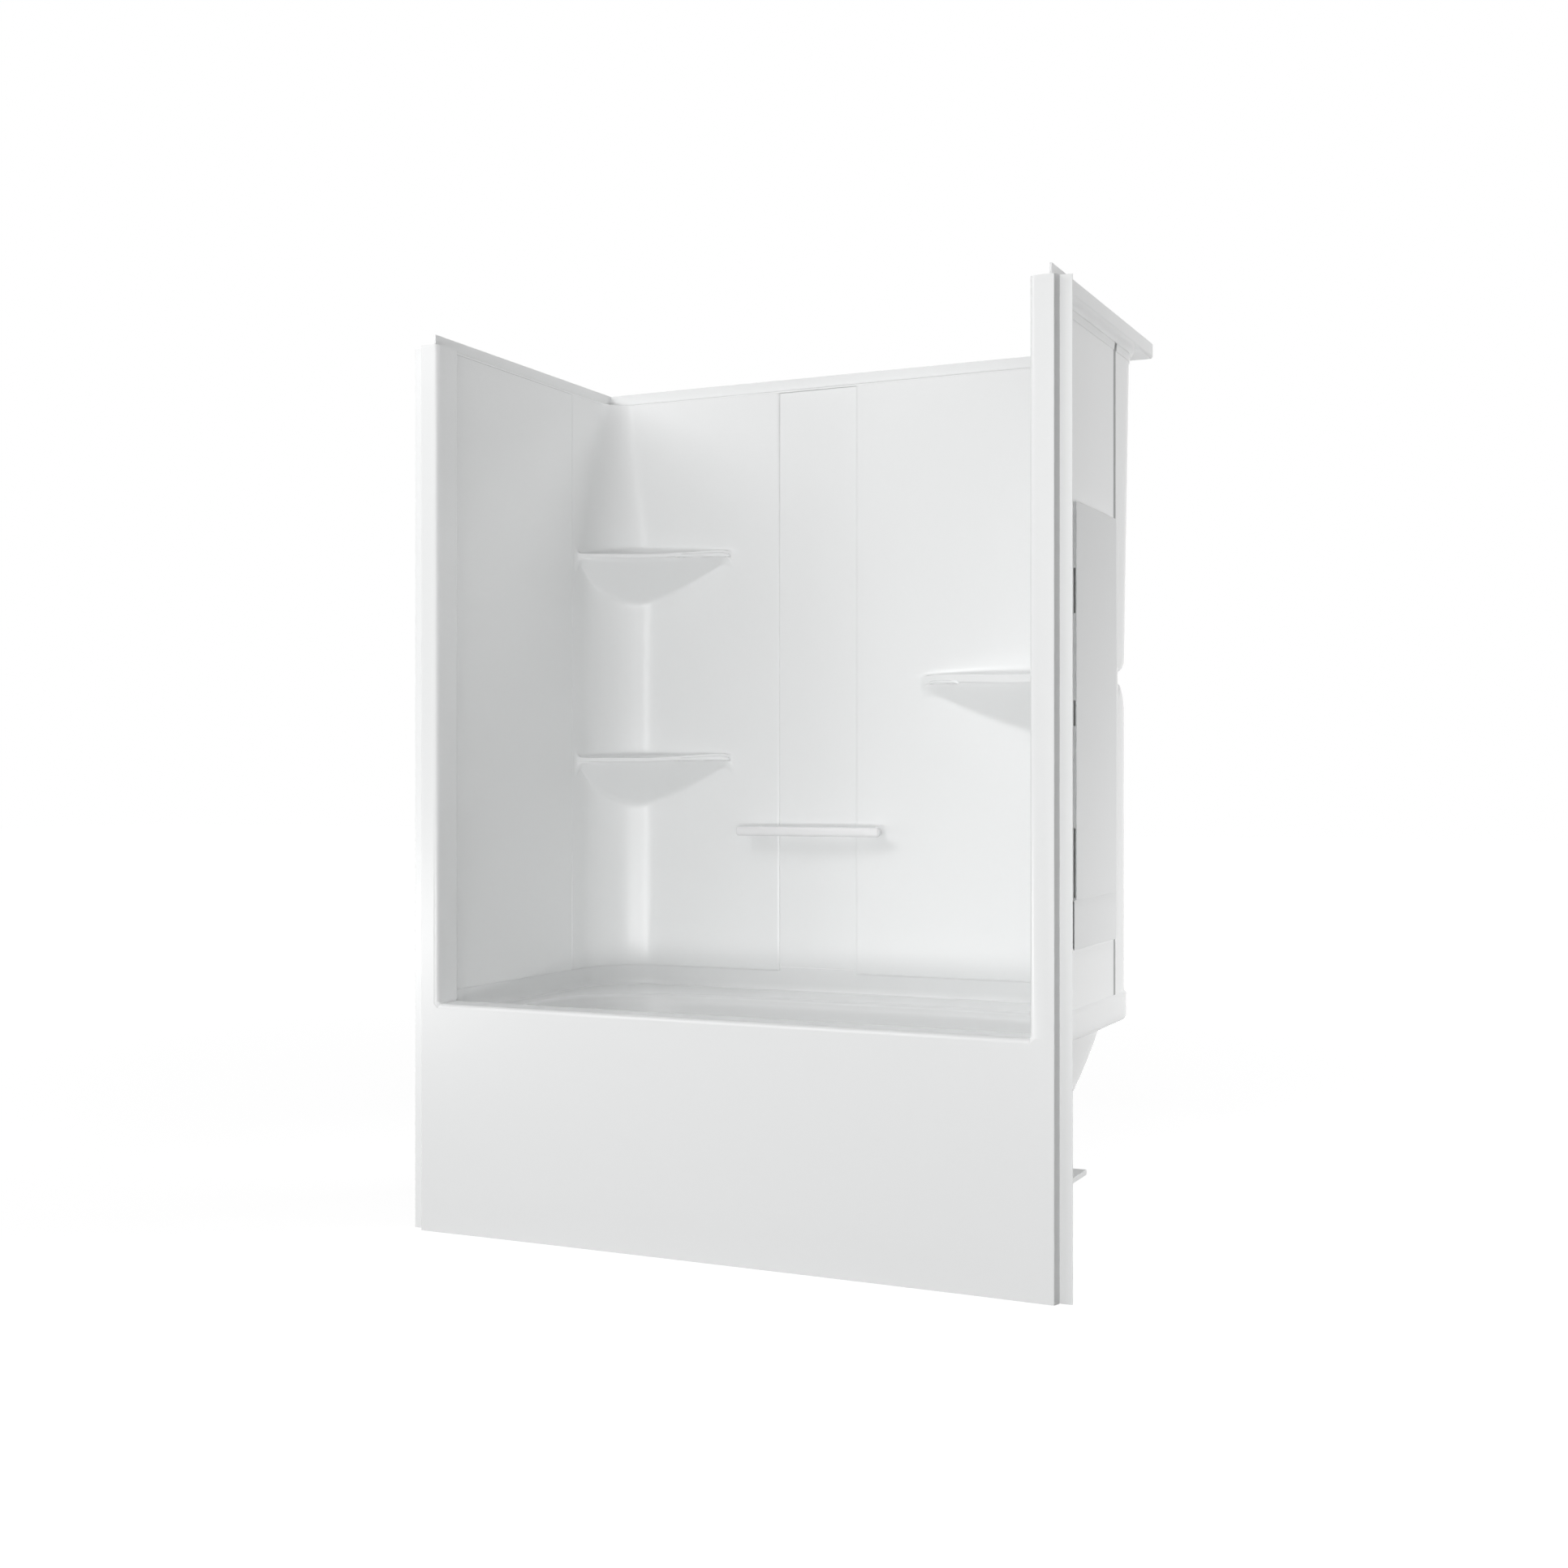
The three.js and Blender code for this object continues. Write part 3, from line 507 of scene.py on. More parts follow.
# Each finish has its roughness, its grain (scale, detail and stretch), and what the grain
# varies: the tones of its colour, the span of its roughness, and its height and strength.
# A coat has its weight, index of refraction and roughness, and a finer grain under it.
FINISHES = {
    # Gloss sheet with a faint slow waver
    "acrylic": {"roughness": 0.2, "grain": (2.2, 2.0), "tones": (0.99, 1.01),
                "bump": (0.4, 0.04), "coat": (0.8, 1.49, 0.05)},
    # The bar's satin white
    "bar_acrylic": {"colour": "acrylic", "roughness": 0.3, "grain": (40, 3),
                    "tones": (0.985, 1.01), "span": (0.24, 0.34)},
    # Coating with the faint texture of the board under it
    "coated_board": {"colour": "board", "roughness": 0.55, "grain": (90, 5, (1, 1, 0.25)),
                     "tones": (0.97, 1.01), "span": (0.48, 0.62), "bump": (0.15, 0.25)},
    # Sawn softwood with grain along its length
    "timber": {"roughness": 0.75, "grain": (60, 6, (0.06, 1, 1)), "tones": (0.72, 1.18),
               "bump": (0.4, 0.35)},
    "chrome": {"roughness": 0.07, "metallic": 1.0, "grain": (35, 4), "span": (0.04, 0.12)},
    "steel": {"roughness": 0.35, "metallic": 1.0, "grain": (220, 3, (1, 1, 0.2)),
              "span": (0.28, 0.42)},
    "rubber": {"roughness": 0.8, "grain": (120, 4), "tones": (1, 1.6), "bump": (0.1, 0.3)},
    # Grey of the seam beads, painted shade for the shade in the panels' seams, with a slightly
    # uneven skin
    "sealant": {"roughness": 0.6, "grain": (80, 3), "tones": (0.94, 1.05), "bump": (0.1, 0.2)},
    # Black moulded plastic with a fine spark-eroded texture
    "pipework": {"roughness": 0.45, "grain": (300, 3), "tones": (1, 1.35),
                 "span": (0.38, 0.55), "bump": (0.08, 0.3)},
}
UNDER_COAT_GRAIN, UNDER_COAT_SPAN = (14, 3), (0.16, 0.24)


def material_of(name):
    """The named finish's material, made when it is first asked for."""
    if name in bpy.data.materials:
        return bpy.data.materials[name]
    finish = FINISHES[name]
    base = getattr(bpy.context.scene.tub_shower_colours, finish.get("colour", name))
    material = bpy.data.materials.new(name)
    material.use_nodes = True
    tree = material.node_tree
    shader = tree.nodes["Principled BSDF"]
    shader.inputs["Base Color"].default_value = (*base, 1)
    shader.inputs["Roughness"].default_value = finish["roughness"]
    shader.inputs["Metallic"].default_value = finish.get("metallic", 0.0)
    grain = noise(tree, *finish["grain"])
    if "tones" in finish:
        lay_tones(tree, shader, grain, base, finish["tones"])
    if "span" in finish:
        lay_roughness(tree, shader, grain, finish["span"])
    if "bump" in finish:
        lay_bump(tree, shader, grain, *finish["bump"])
    if "coat" in finish:
        weight, refraction, roughness = finish["coat"]
        shader.inputs["IOR"].default_value = refraction
        shader.inputs["Coat Weight"].default_value = weight
        shader.inputs["Coat Roughness"].default_value = roughness
        lay_roughness(tree, shader, noise(tree, *UNDER_COAT_GRAIN), UNDER_COAT_SPAN)
    return material


# Plan lines of the three walls

LEFT, RIGHT = -1, 1
COVE_STEPS = 18


class Corner:
    """One rounded corner of the wall surround: its cove, its shelves and its seam."""

    def __init__(self, side, seam, foot, top, shelves, wall_end, back_end, strip):
        self.side = side
        self.seam = seam
        self.foot_radius = foot * MM
        self.top_radius = top * MM
        self.shelves = [height * MM for height in shelves]
        self.start = Vector((side * WALL_X, FRONT + wall_end * MM))
        self.end = Vector((back_end * MM, WALL_Y))
        self.strip = strip

    def radius(self, z):
        """The cove is even up to the highest shelf and narrows above it."""
        highest = self.shelves[-1]
        above = max(0, (z - highest) / (FRAME_TOP - highest))
        return mix(self.foot_radius, self.top_radius, above)

    def middle(self, radius):
        """The plan point that a cove of that radius is drawn round."""
        return self.side * (WALL_X - radius), WALL_Y - radius

    def cove(self, z, out):
        """Plan points of the cove, from the side wall to the back, moved outwards."""
        radius = self.radius(z)
        start = 180 if self.side == LEFT else 0
        return arc(self.middle(radius), radius + out, start, 90, COVE_STEPS)


LEFT_CORNER = Corner(LEFT, LEFT_SEAM, 148, 60, (1058, 1569), 608, -342, STRIP_LEFT)
RIGHT_CORNER = Corner(RIGHT, RIGHT_SEAM, 207, 156, (1243,), 566, 144, STRIP_RIGHT)


def wall_line(z, out, front):
    """Plan points round the three walls, from the left front to the right front.

    The back wall has points at the set-back strip's edges.
    """
    left = LEFT_CORNER.cove(z, out)
    right = RIGHT_CORNER.cove(z, out)
    side = WALL_X + out
    sides = [Vector((-side, mix(front, left[0].y, k / 4))) for k in range(4)]
    edges = [STRIP_LOW.x - LAP, STRIP_HIGH.x + LAP]
    stations = [mix(left[-1].x, edges[0], 0.5), edges[0], mix(*edges, 0.33), mix(*edges, 0.67),
                edges[1], mix(edges[1], right[-1].x, 0.33), mix(edges[1], right[-1].x, 0.67)]
    back = [Vector((x, WALL_Y + out)) for x in stations]
    other = [Vector((side, mix(right[0].y, front, k / 4))) for k in range(1, 5)]
    return sides + left + back + right[::-1] + other


STRIP_FIRST = 4 + COVE_STEPS + 1 + 1
STRIP_LAST = STRIP_FIRST + 3


# Front frame

def front_face(sizes):
    """The face with its arched step, before the opening is cut."""
    spans = 44
    xs = [-COLUMN_OUTER] + [mix(OPENING_LEFT, OPENING_RIGHT, k / spans) for k in range(spans + 1)]
    xs.append(COLUMN_OUTER)
    floor_row, step_row, arch_row, rim_row = range(4)

    def place(column, row):
        x = xs[column]
        share = max(0, 1 - (x / ARCH_HALF) ** 2)
        recess = sizes.arch_recess * share ** ARCH_FADE
        arch = ARCH_FOOT + sizes.arch_rise * share
        if row == floor_row:
            return x, FRONT + recess, 0
        if row == step_row:
            return x, FRONT + recess, arch - LAP - sizes.arch_band * share ** ARCH_FADE
        if row == arch_row:
            return x, FRONT, arch
        return x, FRONT, RIM_HEIGHT if row == rim_row else FRAME_TOP

    return sheet("front_frame_shell", len(xs), 5, place)


def in_opening(p):
    return OPENING_LEFT - MM < p.x < OPENING_RIGHT + MM


def at_rim(p):
    return near(p.z, RIM_HEIGHT) and in_opening(p)


def at_column(p):
    return near(p.x, OPENING_LEFT) or near(p.x, OPENING_RIGHT)


def wrap_opening(piece):
    """Cut the opening, then fold its edges back as the columns' returns and the rim."""
    back = FRONT + RIM_DEPTH
    with editing(piece):
        pick(piece, "FACE", lambda p: in_opening(p) and p.z > RIM_HEIGHT - MM)
        bpy.ops.mesh.delete(type="ONLY_FACE")
        pick(piece, "EDGE", lambda p: (
            at_column(p) and p.z > RIM_HEIGHT - MM or at_rim(p)))
        pull((0, RIM_DEPTH, 0))
        for inner, reach in ((OPENING_LEFT, -LIP_REACH), (OPENING_RIGHT, LIP_REACH)):
            pick(piece, "EDGE", lambda p: (
                near(p.x, inner) and near(p.y, back) and p.z > RIM_HEIGHT - MM))
            pull((reach - inner, 0, 0))
        pick(piece, "EDGE", lambda p: near(p.y, back) and near(p.z, RIM_HEIGHT))
        pull((0, 0, LEDGE + LAP - RIM_HEIGHT))
        merge_close()


def fold_flanges(piece):
    with editing(piece):
        for side in (LEFT, RIGHT):
            pick(piece, "EDGE", lambda p: near(p.x, side * COLUMN_OUTER))
            pull((side * (FLANGE_START - COLUMN_OUTER), FLANGE_SETBACK, 0))
            pull((side * (HALF_WIDTH - FLANGE_START), 0, 0))


def round_frame(piece, sizes):
    """Round the rim and the columns, and ease the flange's fold."""
    back = FRONT + RIM_DEPTH
    for radius, segments, test in (
        (sizes.rim_round, 6, lambda p: at_rim(p) and near(p.y, FRONT)),
        (sizes.rim_round, 6, lambda p: at_rim(p) and near(p.y, back)),
        (sizes.outer_round, 3, lambda p: (
            near(abs(p.x), COLUMN_OUTER) and near(p.y, FRONT, 6.1 * MM))),
        (sizes.column_round, 6, lambda p: (
            at_column(p) and near(p.y, FRONT) and p.z > RIM_HEIGHT - sizes.rim_round - MM)),
        (FOLD_ROUND, 2, lambda p: (
            near(abs(p.x), FLANGE_START) and near(p.y, FRONT + FLANGE_SETBACK))),
        (RETURN_ROUND, 5, lambda p: at_column(p) and near(p.y, back) and p.z > RIM_HEIGHT),
    ):
        with editing(piece):
            pick(piece, "EDGE", test)
            round_edges(radius, segments)


def column_cap(inner, outer, sizes):
    """The plate that closes a column's top, just under the shell's edge."""
    skin = sizes.frame_skin + LAP
    xs = sorted((inner, outer))
    low = (xs[0] + skin, FRONT + skin, FRAME_TOP - 5 * MM)
    high = (xs[1] - skin, FRONT + CAP_DEPTH, FRAME_TOP - MM)
    return block("column_cap", low, high, 0.5 * MM)


class TUBSHOWER_OT_front_frame(bpy.types.Operator):
    """Model the apron, rim, columns and front flanges as one moulding"""
    bl_idname = "tub_shower.front_frame"
    bl_label = "Front Frame"

    def execute(self, context):
        sizes = context.scene.tub_shower_sizes
        piece = front_face(sizes)
        wrap_opening(piece)
        fold_flanges(piece)
        face_towards(piece, (0, -1, 0))
        round_frame(piece, sizes)
        thicken(piece, sizes.frame_skin)
        caps = [column_cap(OPENING_LEFT, -COLUMN_OUTER, sizes),
                column_cap(OPENING_RIGHT, COLUMN_OUTER, sizes)]
        piece = join("front_frame_shell", [piece, *caps])
        dress_flat(piece, "acrylic", "front_frame")
        return {"FINISHED"}


# Bath

def fill_in(points, most):
    """More points between neighbours of a kind that are further apart than the most."""
    made = []
    for (point, walled), (after, walled_after) in zip(points, points[1:] + points[:1]):
        count = 1
        if walled == walled_after:
            count = max(1, math.ceil((after - point).length / most))
        made += [(point.lerp(after, k / count), walled) for k in range(count)]
    return made


def bath_outline():
    """Plan points round the bath's outer edge, with the height of its upstand at each."""
    inner = PANEL_SKIN + LAP
    side = WALL_X + inner
    front = TUB_LOW.y
    corner = WALL_FRONT
    spans = 24
    no_wall = [(side, corner - 0.5 * MM)]
    no_wall += [(mix(side, -side, k / spans), front) for k in range(spans + 1)]
    no_wall.append((-side, corner - 0.5 * MM))
    points = [(p, True) for p in wall_line(LEDGE, inner, corner)]
    points += [(Vector(p), False) for p in no_wall]
    return fill_in(points, BATH_POINTS_APART)


def ring_point(level, towards):
    """Where the ray from the well's middle to a plan point crosses a level of the well."""
    _, left, right, side = level
    away = towards - WELL_MIDDLE
    power = WELL_POWER_LEFT if away.x < 0 else WELL_POWER_RIGHT
    reach = (left if away.x < 0 else right) * MM
    share = (abs(away.x) / reach) ** power + (abs(away.y) / (side * MM)) ** power
    return WELL_MIDDLE + away * share ** (-1 / power)


def smooth_levels(levels, steps):
    """Levels in between, on a curve through the given ones."""
    ends = [levels[0], *levels, levels[-1]]
    made = []
    for k in range(len(levels) - 1):
        a, b, c, d = ends[k:k + 4]
        for n in range(steps):
            t = n / steps
            made.append(tuple(
                0.5 * (2 * q + (r - p) * t + (2 * p - 5 * q + 4 * r - s) * t ** 2
                       + (3 * q - p - 3 * r + s) * t ** 3)
                for p, q, r, s in zip(a, b, c, d)))
    return made + [levels[-1]]


def bath_rows(sizes):
    """Rules for the rows from the upstand's top, over the ledge and down to the drain."""
    rows = []
    foot = 6 * MM
    radius = sizes.ledge_round
    top = WELL_LEVELS[0]
    edge = (LEDGE, *(reach + radius / MM for reach in top[1:]))
    for height, inset in [(TUB_HIGH.z, 0), (TUB_HIGH.z - 2 * foot, 0), (LEDGE + 3 * foot, 0),
                          (LEDGE + foot, 0), (LEDGE + 0.3 * foot, 0.3 * foot), (LEDGE, foot),
                          (LEDGE, 2 * foot)]:
        def upstand(point, walled, height=height, inset=inset):
            room = 0.9 * (point - ring_point(edge, point)).length * inset / (2 * foot)
            inward = (WELL_MIDDLE - point).normalized() * min(inset * 1.2, room)
            return *(point + inward), height if walled else LEDGE
        rows.append(upstand)
    for by_sine, by_cosine in quarter(6):
        grow = radius * by_sine / MM
        height = LEDGE - radius * by_cosine
        level = (height, top[1] + grow, top[2] + grow, top[3] + grow)
        rows.append(lambda point, walled, level=level: (*ring_point(level, point), level[0]))
    for level in smooth_levels(WELL_LEVELS, 4)[2:]:
        rows.append(
            lambda point, walled, level=level: (*ring_point(level, point), level[0] * MM))
    last = WELL_LEVELS[-1]
    seat = Vector((DRAIN.x, DRAIN.y))
    for share in FLOOR_SHARES:
        def floor(point, walled, share=share):
            rim = ring_point(last, point)
            hole = seat + (rim - seat).normalized() * SEAT_RADIUS
            return *rim.lerp(hole, share), mix(last[0] * MM, SEAT_LEVEL, share)
        rows.append(floor)
    for radius_in, height in DRAIN_LEVELS:
        def drain(point, walled, radius_in=radius_in, height=height):
            rim = ring_point(last, point)
            return *(seat + (rim - seat).normalized() * radius_in * MM), height * MM
        rows.append(drain)
    return rows


class TUBSHOWER_OT_tub_basin(bpy.types.Operator):
    """Model the bath from its upstand over the ledge and down the well to the drain"""
    bl_idname = "tub_shower.tub_basin"
    bl_label = "Tub Basin"

    def execute(self, context):
        sizes = context.scene.tub_shower_sizes
        outline = bath_outline()
        rows = bath_rows(sizes)
        count = len(outline)

        def place(column, row):
            return rows[row](*outline[column % count])

        piece = sheet("tub_basin_shell", count + 1, len(rows), place)
        with editing(piece):
            merge_close()
        face_towards(piece, (0, 0, 1))
        drawn = len(piece.data.vertices)
        thicken(piece, sizes.tub_skin, even=False)
        for vertex in piece.data.vertices[drawn:]:
            if vertex.co.z > TUB_HIGH.z - MM:
                vertex.co.z -= sizes.upstand_slope
        shade(piece, 40)
        dress(piece, "acrylic", "tub_basin")
        return {"FINISHED"}


# Wall panels

FOOT_TURN = 2.4 * MM
SEAM_LAP = 3 * MM
# How much narrower the set-back strip is drawn at its left and right edges, to leave room for the
# grey beads of painted shade in its joints
STRIP_GAPS = (1.8 * MM, 1.2 * MM)
# How deep the grey beads of painted shade start and end: behind the back wall's face, and inside a
# side's outer face
STRIP_SHADE_BEAD = (1.8 * MM, 3.2 * MM)
SEAM_SHADE_BEAD = (2.2 * MM, 0.5 * MM)


def turn_foot(piece, direction):
    """Turn the foot of a flat panel's inner face back, away from the room."""
    with editing(piece):
        pick_all()
        bpy.ops.mesh.bisect(plane_co=(0, 0, WALL_FOOT + 2 * FOOT_TURN), plane_no=(0, 0, 1))
    inner = min(vertex.co.dot(direction) for vertex in piece.data.vertices)
    for vertex in piece.data.vertices:
        at_inner_face = vertex.co.dot(direction) < inner + PANEL_SKIN / 2
        if at_inner_face and vertex.co.z < WALL_FOOT + FOOT_TURN:
            vertex.co += direction * FOOT_TURN * 0.7


def cut_outer_edge(piece, seam, width):
    """Stop a side panel's outer face short of its seam, to leave room for the grey bead of painted
    shade in the joint.
    """
    for vertex in piece.data.vertices:
        if vertex.co.y > seam - 2 * MM and abs(vertex.co.x) > WALL_X + PANEL_SKIN / 2:
            vertex.co.y -= width


class TUBSHOWER_OT_wall_panels(bpy.types.Operator):
    """Model the flat side panels and the set-back strip in the back wall"""
    bl_idname = "tub_shower.wall_panels"
    bl_label = "Wall Panels"

    def execute(self, context):
        width = context.scene.tub_shower_sizes.seam_width
        for node, outwards in (("left_wall_panel", (-1, 0, 0)), ("right_wall_panel", (1, 0, 0)),
                               ("center_back_panel", (0, 1, 0))):
            low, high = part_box(node)
            is_strip = node == "center_back_panel"
            if is_strip:
                low.x += STRIP_GAPS[0]
                high.x -= STRIP_GAPS[1]
            piece = block(node + "_sheet", low, high)
            turn_foot(piece, Vector(outwards))
            if not is_strip:
                cut_outer_edge(piece, high.y, width)
            dress_flat(piece, "acrylic", node)
        # Grey beads of painted shade along the strip's edges, standing in for the shade in its
        # joints
        for side, x, gap in (("left", STRIP_LOW.x, STRIP_GAPS[0]),
                             ("right", STRIP_HIGH.x - STRIP_GAPS[1], STRIP_GAPS[1])):
            shade_bead(side + "_strip_joint", (x - LAP / 2, WALL_Y + STRIP_SHADE_BEAD[0]),
                 (x + gap + LAP / 2, WALL_Y + STRIP_SHADE_BEAD[1]))
        return {"FINISHED"}


# How far the shelves' front edges lean back, from 0 for upright
LIP_SLANT = 0.2
# The share of a shelf's greatest depth from which its rows have their full shape
SETTLED_DEPTH = 0.14
# The rows over a shelf's edge: heights on the shelf and clear of it, in millimetres over its
# top, reach to the front edge, and millimetres over which the edge leans back
OVER_EDGE = [(0, 1, 1, 9), (0.6, 3, 1, 13), (0, 7, 0.6, 0), (0, 11, 0.36, 0), (1, 14, 0.21, 0),
             (4, 18, 0.11, 0), (11, 23, 0.035, 0), (22, 30, 0, 0), (44, 46, 0, 0)]


def shelf_rows(top, lip, bowl):
    """Rows of one shelf, upwards from the tip of its bowl.

    Each row has its height on the shelf, how far the bowl drops it, its height clear of the
    shelf, its reach to the front edge from 0 to 1, and how far it stops short of that reach.
    """
    under = top - lip
    rows = [(under - 34 * MM, bowl, under - 62 * MM, 0, 0),
            (under - 10 * MM, bowl, under - 50 * MM, 0, 0)]
    for k, drop in enumerate((0.97, 0.86, 0.68, 0.48, 0.28, 0.11)):
        rows.append((under, bowl * drop, under - (41 - 6 * k) * MM, 1 - drop ** 1.15, 0))
    rows += [
        (under, 0.02 * bowl, under - 5.5 * MM, 1, 4 * MM), (under, 0, under - 2 * MM, 1, 1 * MM),
        (under + MM, 0, under + 0.8 * MM, 1, 0.2 * MM),
        (top - lip * 0.55, 0, top - lip * 0.55, 1, LIP_SLANT * 3 * MM),
        (top - lip * 0.2, 0, top - lip * 0.2, 1, LIP_SLANT * 6.2 * MM),
    ]
    return rows + [(top + on_shelf * MM, 0, top + clear * MM, out, LIP_SLANT * lean * MM)
                   for on_shelf, clear, out, lean in OVER_EDGE]


def bowl_share(share):
    """How deep the bowl hangs along the shelf, up to 1 at its lowest point."""
    lowest = 0.41
    if share < lowest:
        return 1 - (1 - share / lowest) ** 2
    return (1 - ((share - lowest) / (1 - lowest)) ** 1.35) ** 0.8


def tip_rise(share):
    """The shelf's gentle rise towards its tip on the back wall."""
    start, run, rise = 0.4, 0.58, 11 * MM
    return rise * gentle(min(1, max(0, (share - start) / run)))


def plain_row(height):
    return height, 0, height, 0, 0


def corner_rows(corner, lip, bowl):
    rows = [plain_row(WALL_FOOT), plain_row(WALL_FOOT + FOOT_TURN),
            plain_row(WALL_FOOT + 2.5 * FOOT_TURN)]
    low = WALL_FOOT
    for top in corner.shelves:
        first = top - lip - bowl - 34 * MM
        rows += [plain_row(mix(low, first, share)) for share in (0.25, 0.5, 0.75)]
        rows += shelf_rows(top, lip, bowl)
        low = top + 46 * MM
    rows += [plain_row(mix(low, PANEL_TOP, share)) for share in (0.2, 0.4, 0.6, 0.8)]
    return rows + [plain_row(PANEL_TOP - 6 * MM), plain_row(PANEL_TOP)]


def corner_columns(corner):
    """Rules for the wall's plan points by height, each with its share of the way along the
    shelf, or None where it is clear of the shelf."""
    radius = corner.foot_radius
    flat = WALL_Y - radius - corner.start.y
    bend = radius * math.pi / 2
    rear = abs(corner.middle(radius)[0] - corner.end.x)
    whole = flat + bend + rear

    def on_side(share):
        return lambda z: Vector((
            corner.start.x, mix(corner.start.y, WALL_Y - corner.radius(z), share)))

    def on_cove(step):
        return lambda z: corner.cove(z, 0)[step]

    def on_back(share):
        return lambda z: Vector((
            mix(corner.middle(corner.radius(z))[0], corner.end.x, share), WALL_Y))

    def between(a, b, share):
        return lambda z: a.lerp(b, share)

    seam = Vector((corner.start.x, corner.seam))
    clear_front = corner.start - Vector((0, 6 * MM))
    clear_back = corner.end - Vector((corner.side * 7 * MM, 0))
    strip = Vector((corner.strip, WALL_Y))
    columns = [(between(seam, clear_front, share), None) for share in (0, 0.15, 0.6, 1)]
    columns += [(on_side(share), share * flat / whole) for share in (0, 0.5)]
    columns += [(on_cove(step), (flat + bend * step / COVE_STEPS) / whole)
                for step in range(COVE_STEPS + 1)]
    columns += [(on_back(share), (flat + bend + rear * share) / whole)
                for share in (0.15, 0.3, 0.45, 0.6, 0.72, 0.83, 0.92, 0.97, 1)]
    columns += [(between(clear_back, strip, share), None) for share in (0, 0.4, 0.9, 1)]
    return columns


def corner_panel(name, corner, lip, bowl):
    """A rounded corner with its shelves drawn out of the wall."""
    rows = corner_rows(corner, lip, bowl)
    columns = corner_columns(corner)
    level = corner.shelves[0]
    middle = Vector(corner.middle(corner.foot_radius))
    least = 4 * MM

    def reach(rule, share, height):
        return corner.start.lerp(corner.end, share) - rule(height)

    def outwards(point):
        away = point - middle
        return Vector((corner.side * max(0, corner.side * away.x), max(0, away.y))).normalized()

    widest = max(reach(rule, share, level).length
                 for rule, share in columns if share is not None)

    def place(column, row):
        rule, share = columns[column]
        on_shelf, hang, clear, out, short = rows[row]
        if row < 2:
            turned_back = FOOT_TURN * (0.2 if row else 1)
            return *(rule(clear) + outwards(rule(clear)) * turned_back), clear
        if share is None:
            return *rule(clear), clear
        depth = reach(rule, share, level).length / widest
        settled = gentle(min(1, depth / SETTLED_DEPTH))
        level_here = on_shelf - hang * bowl_share(share)
        if on_shelf != clear:
            level_here += tip_rise(share)
        height = mix(clear, level_here, settled)
        away = reach(rule, share, height)
        if away.length < least:
            away = (middle - rule(height)).normalized() * least
        length = max(0, away.length * out - short * min(1, away.length / (20 * MM)))
        return *(rule(height) + away.normalized() * length), height

    piece = sheet(name, len(columns), len(rows), place)
    face_towards(piece, (-corner.side, -1, 0))
    return piece


def ease_seam(piece, corner, width):
    """Start the outer skin behind the side seam's joint, and turn the inner edges back at the
    seam and beside the strip."""
    run_out, turn_back = width + 2 * MM, 2.4 * MM
    for vertex in piece.data.vertices:
        past = vertex.co.y - corner.seam
        if abs(vertex.co.x) > WALL_X + PANEL_SKIN / 2:
            if past < run_out:
                vertex.co.y = corner.seam + mix(width, run_out, past / run_out)
        elif past < MM:
            vertex.co.x += corner.side * turn_back / 2
        elif abs(vertex.co.x - corner.strip) < MM and vertex.co.y < WALL_Y + PANEL_SKIN / 2:
            vertex.co.y += turn_back


def shade_bead(name, low, high):
    """A grey bead in a joint between panels, painted shade that stands in for the shade in the
    joint's gap.
    """
    seal = block(name, (*low, WALL_FOOT + 2 * MM), (*high, PANEL_TOP - MM), 0.4 * MM)
    shade(seal, 40)
    dress(seal, "sealant", slot="rubber")


def seam_shade_bead(name, corner, width):
    """The grey bead of painted shade in the joint outside a side seam."""
    xs = sorted(corner.side * (WALL_BACK_X - depth) for depth in SEAM_SHADE_BEAD)
    shade_bead(name, (xs[0], corner.seam - width + LAP), (xs[1], corner.seam + SEAM_LAP - LAP))


class TUBSHOWER_OT_corner_panels(bpy.types.Operator):
    """Model the two rounded corner panels with their moulded shelves"""
    bl_idname = "tub_shower.corner_panels"
    bl_label = "Corner Panels"

    def execute(self, context):
        sizes = context.scene.tub_shower_sizes
        for node, corner, lip, bowl in (
            ("left_corner_panel", LEFT_CORNER, sizes.shelf_lip, sizes.left_bowl),
            ("right_corner_panel", RIGHT_CORNER, 2 * sizes.shelf_lip, sizes.right_bowl),
        ):
            piece = corner_panel(node + "_sheet", corner, lip, bowl)
            modify(piece, "SUBSURF", levels=2, render_levels=2,
                   boundary_smooth="PRESERVE_CORNERS")
            thicken(piece, PANEL_SKIN, even=False)
            ease_seam(piece, corner, SEAM_LAP)
            shade(piece, 50)
            dress(piece, "acrylic", node)
            # A grey bead of painted shade in the side seam's joint, standing in for the shade in
            # its gap
            seam_shade_bead(node + "_joint", corner, sizes.seam_width)
        return {"FINISHED"}


# Top rail

RAIL_SKIN = 4 * MM


